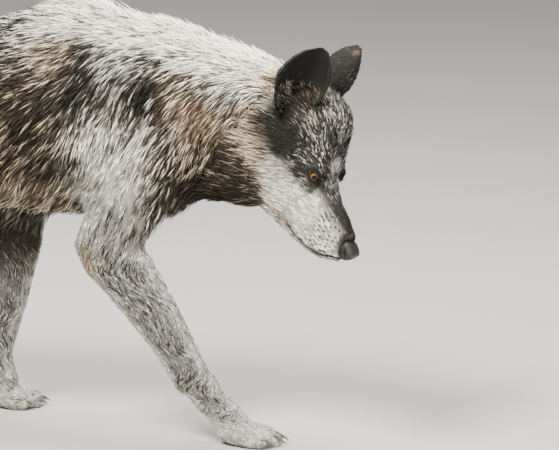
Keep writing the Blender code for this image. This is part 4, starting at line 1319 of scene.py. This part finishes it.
def inWhiskerBed(local):
    # small dark dots in rows along the side of the muzzle
    x, out, z = local[:, 0], np.abs(local[:, 1]), local[:, 2]
    row = (z + whiskerBed["slope"] * x) / whiskerBed["row"]
    step = x / whiskerBed["gap"] + whiskerBed["shift"] * np.round(row)
    turn = np.round(row) * 5.3 + np.round(step) * 2.1  # each spot strays its own way
    sideways = (step - np.round(step)) * whiskerBed["gap"] - whiskerBed["stray"] * np.cos(turn)
    upwards = (row - np.round(row)) * whiskerBed["row"] - whiskerBed["stray"] * np.sin(turn * 1.7)
    (back, front), (low, high) = whiskerBed["along"], whiskerBed["up"]
    bed = (x > back) & (x < front) & (z > low) & (z < high) & (out > whiskerBed["out"])
    return bed & (np.hypot(sideways, upwards) < whiskerBed["dot"])


def makeCoatPiece(name, chosen):
    faces = triangles[chosen]
    layout = unwrap(faces)
    weight = faceArea[chosen] * perArea[faces].mean(1)
    total = np.cumsum(weight)
    long = (weight * (hairLength[faces].mean(1) > coatSizes["twoStepFrom"])).sum() / weight.sum()
    count = int(coatSizes["triangles"][name] / (4 + 6 * long))
    draw = (np.arange(count) + chance.random(count)) / count * total[-1]
    where = np.minimum(np.searchsorted(total, draw), len(faces) - 1)
    r, s = chance.random(count), chance.random(count)
    flip = r + s > 1
    r, s = np.where(flip, 1 - r, r), np.where(flip, 1 - s, s)
    weights = np.column_stack([1 - r - s, r, s])
    hit = faces[where]

    def here(values):
        # a quantity of the skin, read at the tufts' roots
        at = values[hit]
        return (at * weights.reshape(weights.shape + (1,) * (at.ndim - 2))).sum(1)

    def varied(way):
        least, more = coatSizes["vary"][way]
        return least + more * chance.random(count)

    root = here(skinPlaces)
    normal = unit(here(skinNormals))
    along = here(flow)
    along = unit(along - normal * (along * normal).sum(1, keepdims=True))
    length = here(hairLength) * varied("length")
    width = here(hairWidth) * varied("width")
    lift = here(hairLift) * varied("lift")
    swirl = here(swirlField) + chance.normal(0, coatSizes["swirl"], count)
    across = np.cross(normal, along)
    along = unit(along * np.cos(swirl)[:, None] + across * np.sin(swirl)[:, None])
    droop = lift * varied("droop")
    mix = here(hair)
    light, dark, share = mix[:, :3], mix[:, 3:6], mix[:, 6]
    kind = "leg" if "leg" in name else "body"
    if name in ("coat_face", "coat_skull", "coat_ears"):
        kind = "head"
    darkLock = lockOf(root, along, length, lockSizes[kind], 1)
    raisedLitLock = lockOf(root, along, length, lockSizes[kind] * lockSizes["high"], 2)
    loose = lockSizes["loose"][kind]
    mixed = evenly(loose * chance.random(count) + (1 - loose) * darkLock)
    dots = inWhiskerBed(toHead(root + along * (length * whiskerBed["reach"])[:, None]))
    clumped = share - mixed - here(clumpField) * coatSizes["clump"]
    darkness = ease(clumped, -coatSizes["edge"], coatSizes["edge"])
    darkness[dots] = 1.0
    dark[dots] = tones["black"]
    tone = light * (1 - darkness)[:, None] + dark * darkness[:, None]
    # painted light: the raised locks are paler than the hair between them
    least, more, locked = coatSizes["tone"]
    tone *= (least + more * chance.random(count) + locked * raisedLitLock)[:, None]
    # painted shade deep in the coat: roots darker and tips brighter than the hair's tone, partly its own
    # banding
    whole, darker = coatSizes["rootTone"]
    rootTone = tone * (whole - darker * np.clip(share, 0, 1))[:, None]
    tipTone = tone * coatSizes["tipTone"]
    least, more = coatSizes["lockLift"]
    lift = lift * (least + more * raisedLitLock)
    lift[dots] *= coatSizes["dotLift"]
    spots = (layout[where] * weights[:, :, None]).sum(1)
    sunk = coatSizes["sunk"][0] + coatSizes["sunk"][1] * length

    longer = length > coatSizes["twoStepFrom"]
    budget = coatSizes["triangles"][name] / (4 + 6 * longer).sum()
    kept = chance.random(count) < budget
    tufts = (root, normal, along, length, width, lift, droop, sunk, rootTone, tipTone)
    parts, first = [], 0
    for steps, group in ((2, longer & kept), (1, ~longer & kept)):
        if group.any():
            points, shades = growTufts(steps, *[values[group] for values in tufts])
            parts.append(joinTufts(points, shades, steps, spots[group], first))
            first += len(parts[-1][0])
    points, shades, allFaces, patches = (np.concatenate(lists) for lists in zip(*parts))
    mesh = bpy.data.meshes.new(name)
    mesh.vertices.add(len(points))
    mesh.vertices.foreach_set("co", points.astype(np.float32).ravel())
    mesh.loops.add(len(allFaces) * 3)
    mesh.loops.foreach_set("vertex_index", allFaces.astype(np.int32).ravel())
    mesh.polygons.add(len(allFaces))
    mesh.polygons.foreach_set("loop_start", np.arange(len(allFaces), dtype=np.int32) * 3)
    mesh.update(calc_edges=True)
    mesh.shade_smooth()
    layer = mesh.uv_layers.new(name="OFBake")
    layer.data.foreach_set("uv", np.clip(patches, 0, 1).astype(np.float32).ravel())
    item = addItem(name, mesh)
    finish(item, coatMaterial, np.clip(shades, 0, 1))
    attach(item, "root")
    print(name, kept.sum(), "tufts,", len(allFaces), "triangles, cover", round(kept.sum() / total[-1], 2))
    return len(allFaces)


swirlField = wander(places, 0.050, 11) * 0.35 + wander(places, 0.015, 12) * 0.20
clumpField = wander(places, 0.012, 13) + 0.7 * wander(places, 0.030, 14)
pieceNames = pieceOfFaces()
hairTriangles = 0
for name in sorted(set(pieceNames)):
    hairTriangles += makeCoatPiece(name, np.flatnonzero(pieceNames == name))
print("coat triangles in all:", hairTriangles)


# floor, light and camera
floorLook = {"size": 14.0, "roughness": 0.9, "dark": (0.38, 0.38, 0.37), "light": (0.42, 0.42, 0.41)}
lights = {  # place and aim from below the withers, size, power, colour
    "key": ((-0.7, -1.7, 3.0), (0.1, 0, 0.4), 0.9, 330, (1.0, 0.96, 0.88)),
    "top": ((0.1, 0.7, 3.0), (0.0, 0, 0.4), 1.3, 190, (1.0, 0.97, 0.92)),
    "fill": ((2.4, -2.2, 1.2), (0.2, 0, 0.4), 2.2, 130, (1.0, 0.98, 0.94)),
}
sky = {"Color": (0.90, 0.89, 0.86, 1), "Strength": 0.46}
cameraSizes = {"azimuth": 12, "elevation": 12, "away": 7.0, "aim": (0.3103, 0, 0.3332), "lens": 288.5}

place = {"size": floorLook["size"], "location": (home.x, home.y, 0)}
floor = newShape("floor", bpy.ops.mesh.primitive_plane_add, **place)
material, shader = newMaterial("paleFloor", {"Roughness": floorLook["roughness"]})
cloud = textured(shader, "TexNoise", {"Scale": 3.0, "Detail": 4.0})
rampColour(shader, cloud.outputs["Fac"], floorLook["dark"], floorLook["light"])
floor.data.materials.append(material)

for name, (place, aim, size, power, colour) in lights.items():
    data = bpy.data.lights.new(name, "AREA")
    data.size, data.energy, data.color = size, power, colour
    item = addItem(name, data)
    item.location = Vector(place) + home
    item.rotation_euler = (Vector(aim) - Vector(place)).to_track_quat("-Z", "Y").to_euler()
world = bpy.data.worlds.new("studio")
bpy.context.scene.world = world
world.use_nodes = True
feed(world.node_tree.nodes["Background"], sky)

lookAt = home + Vector(cameraSizes["aim"])
azimuth, elevation = math.radians(cameraSizes["azimuth"]), math.radians(cameraSizes["elevation"])
level = math.cos(elevation)
back = Vector((math.sin(azimuth) * level, -math.cos(azimuth) * level, math.sin(elevation)))
camera = addItem("camera", bpy.data.cameras.new("camera"))
camera.data.sensor_width = 36
camera.data.lens = cameraSizes["lens"]
camera.data.clip_end = 40
camera.location = lookAt + back * cameraSizes["away"]
camera.rotation_euler = (-back).to_track_quat("-Z", "Y").to_euler()
bpy.context.scene.camera = camera
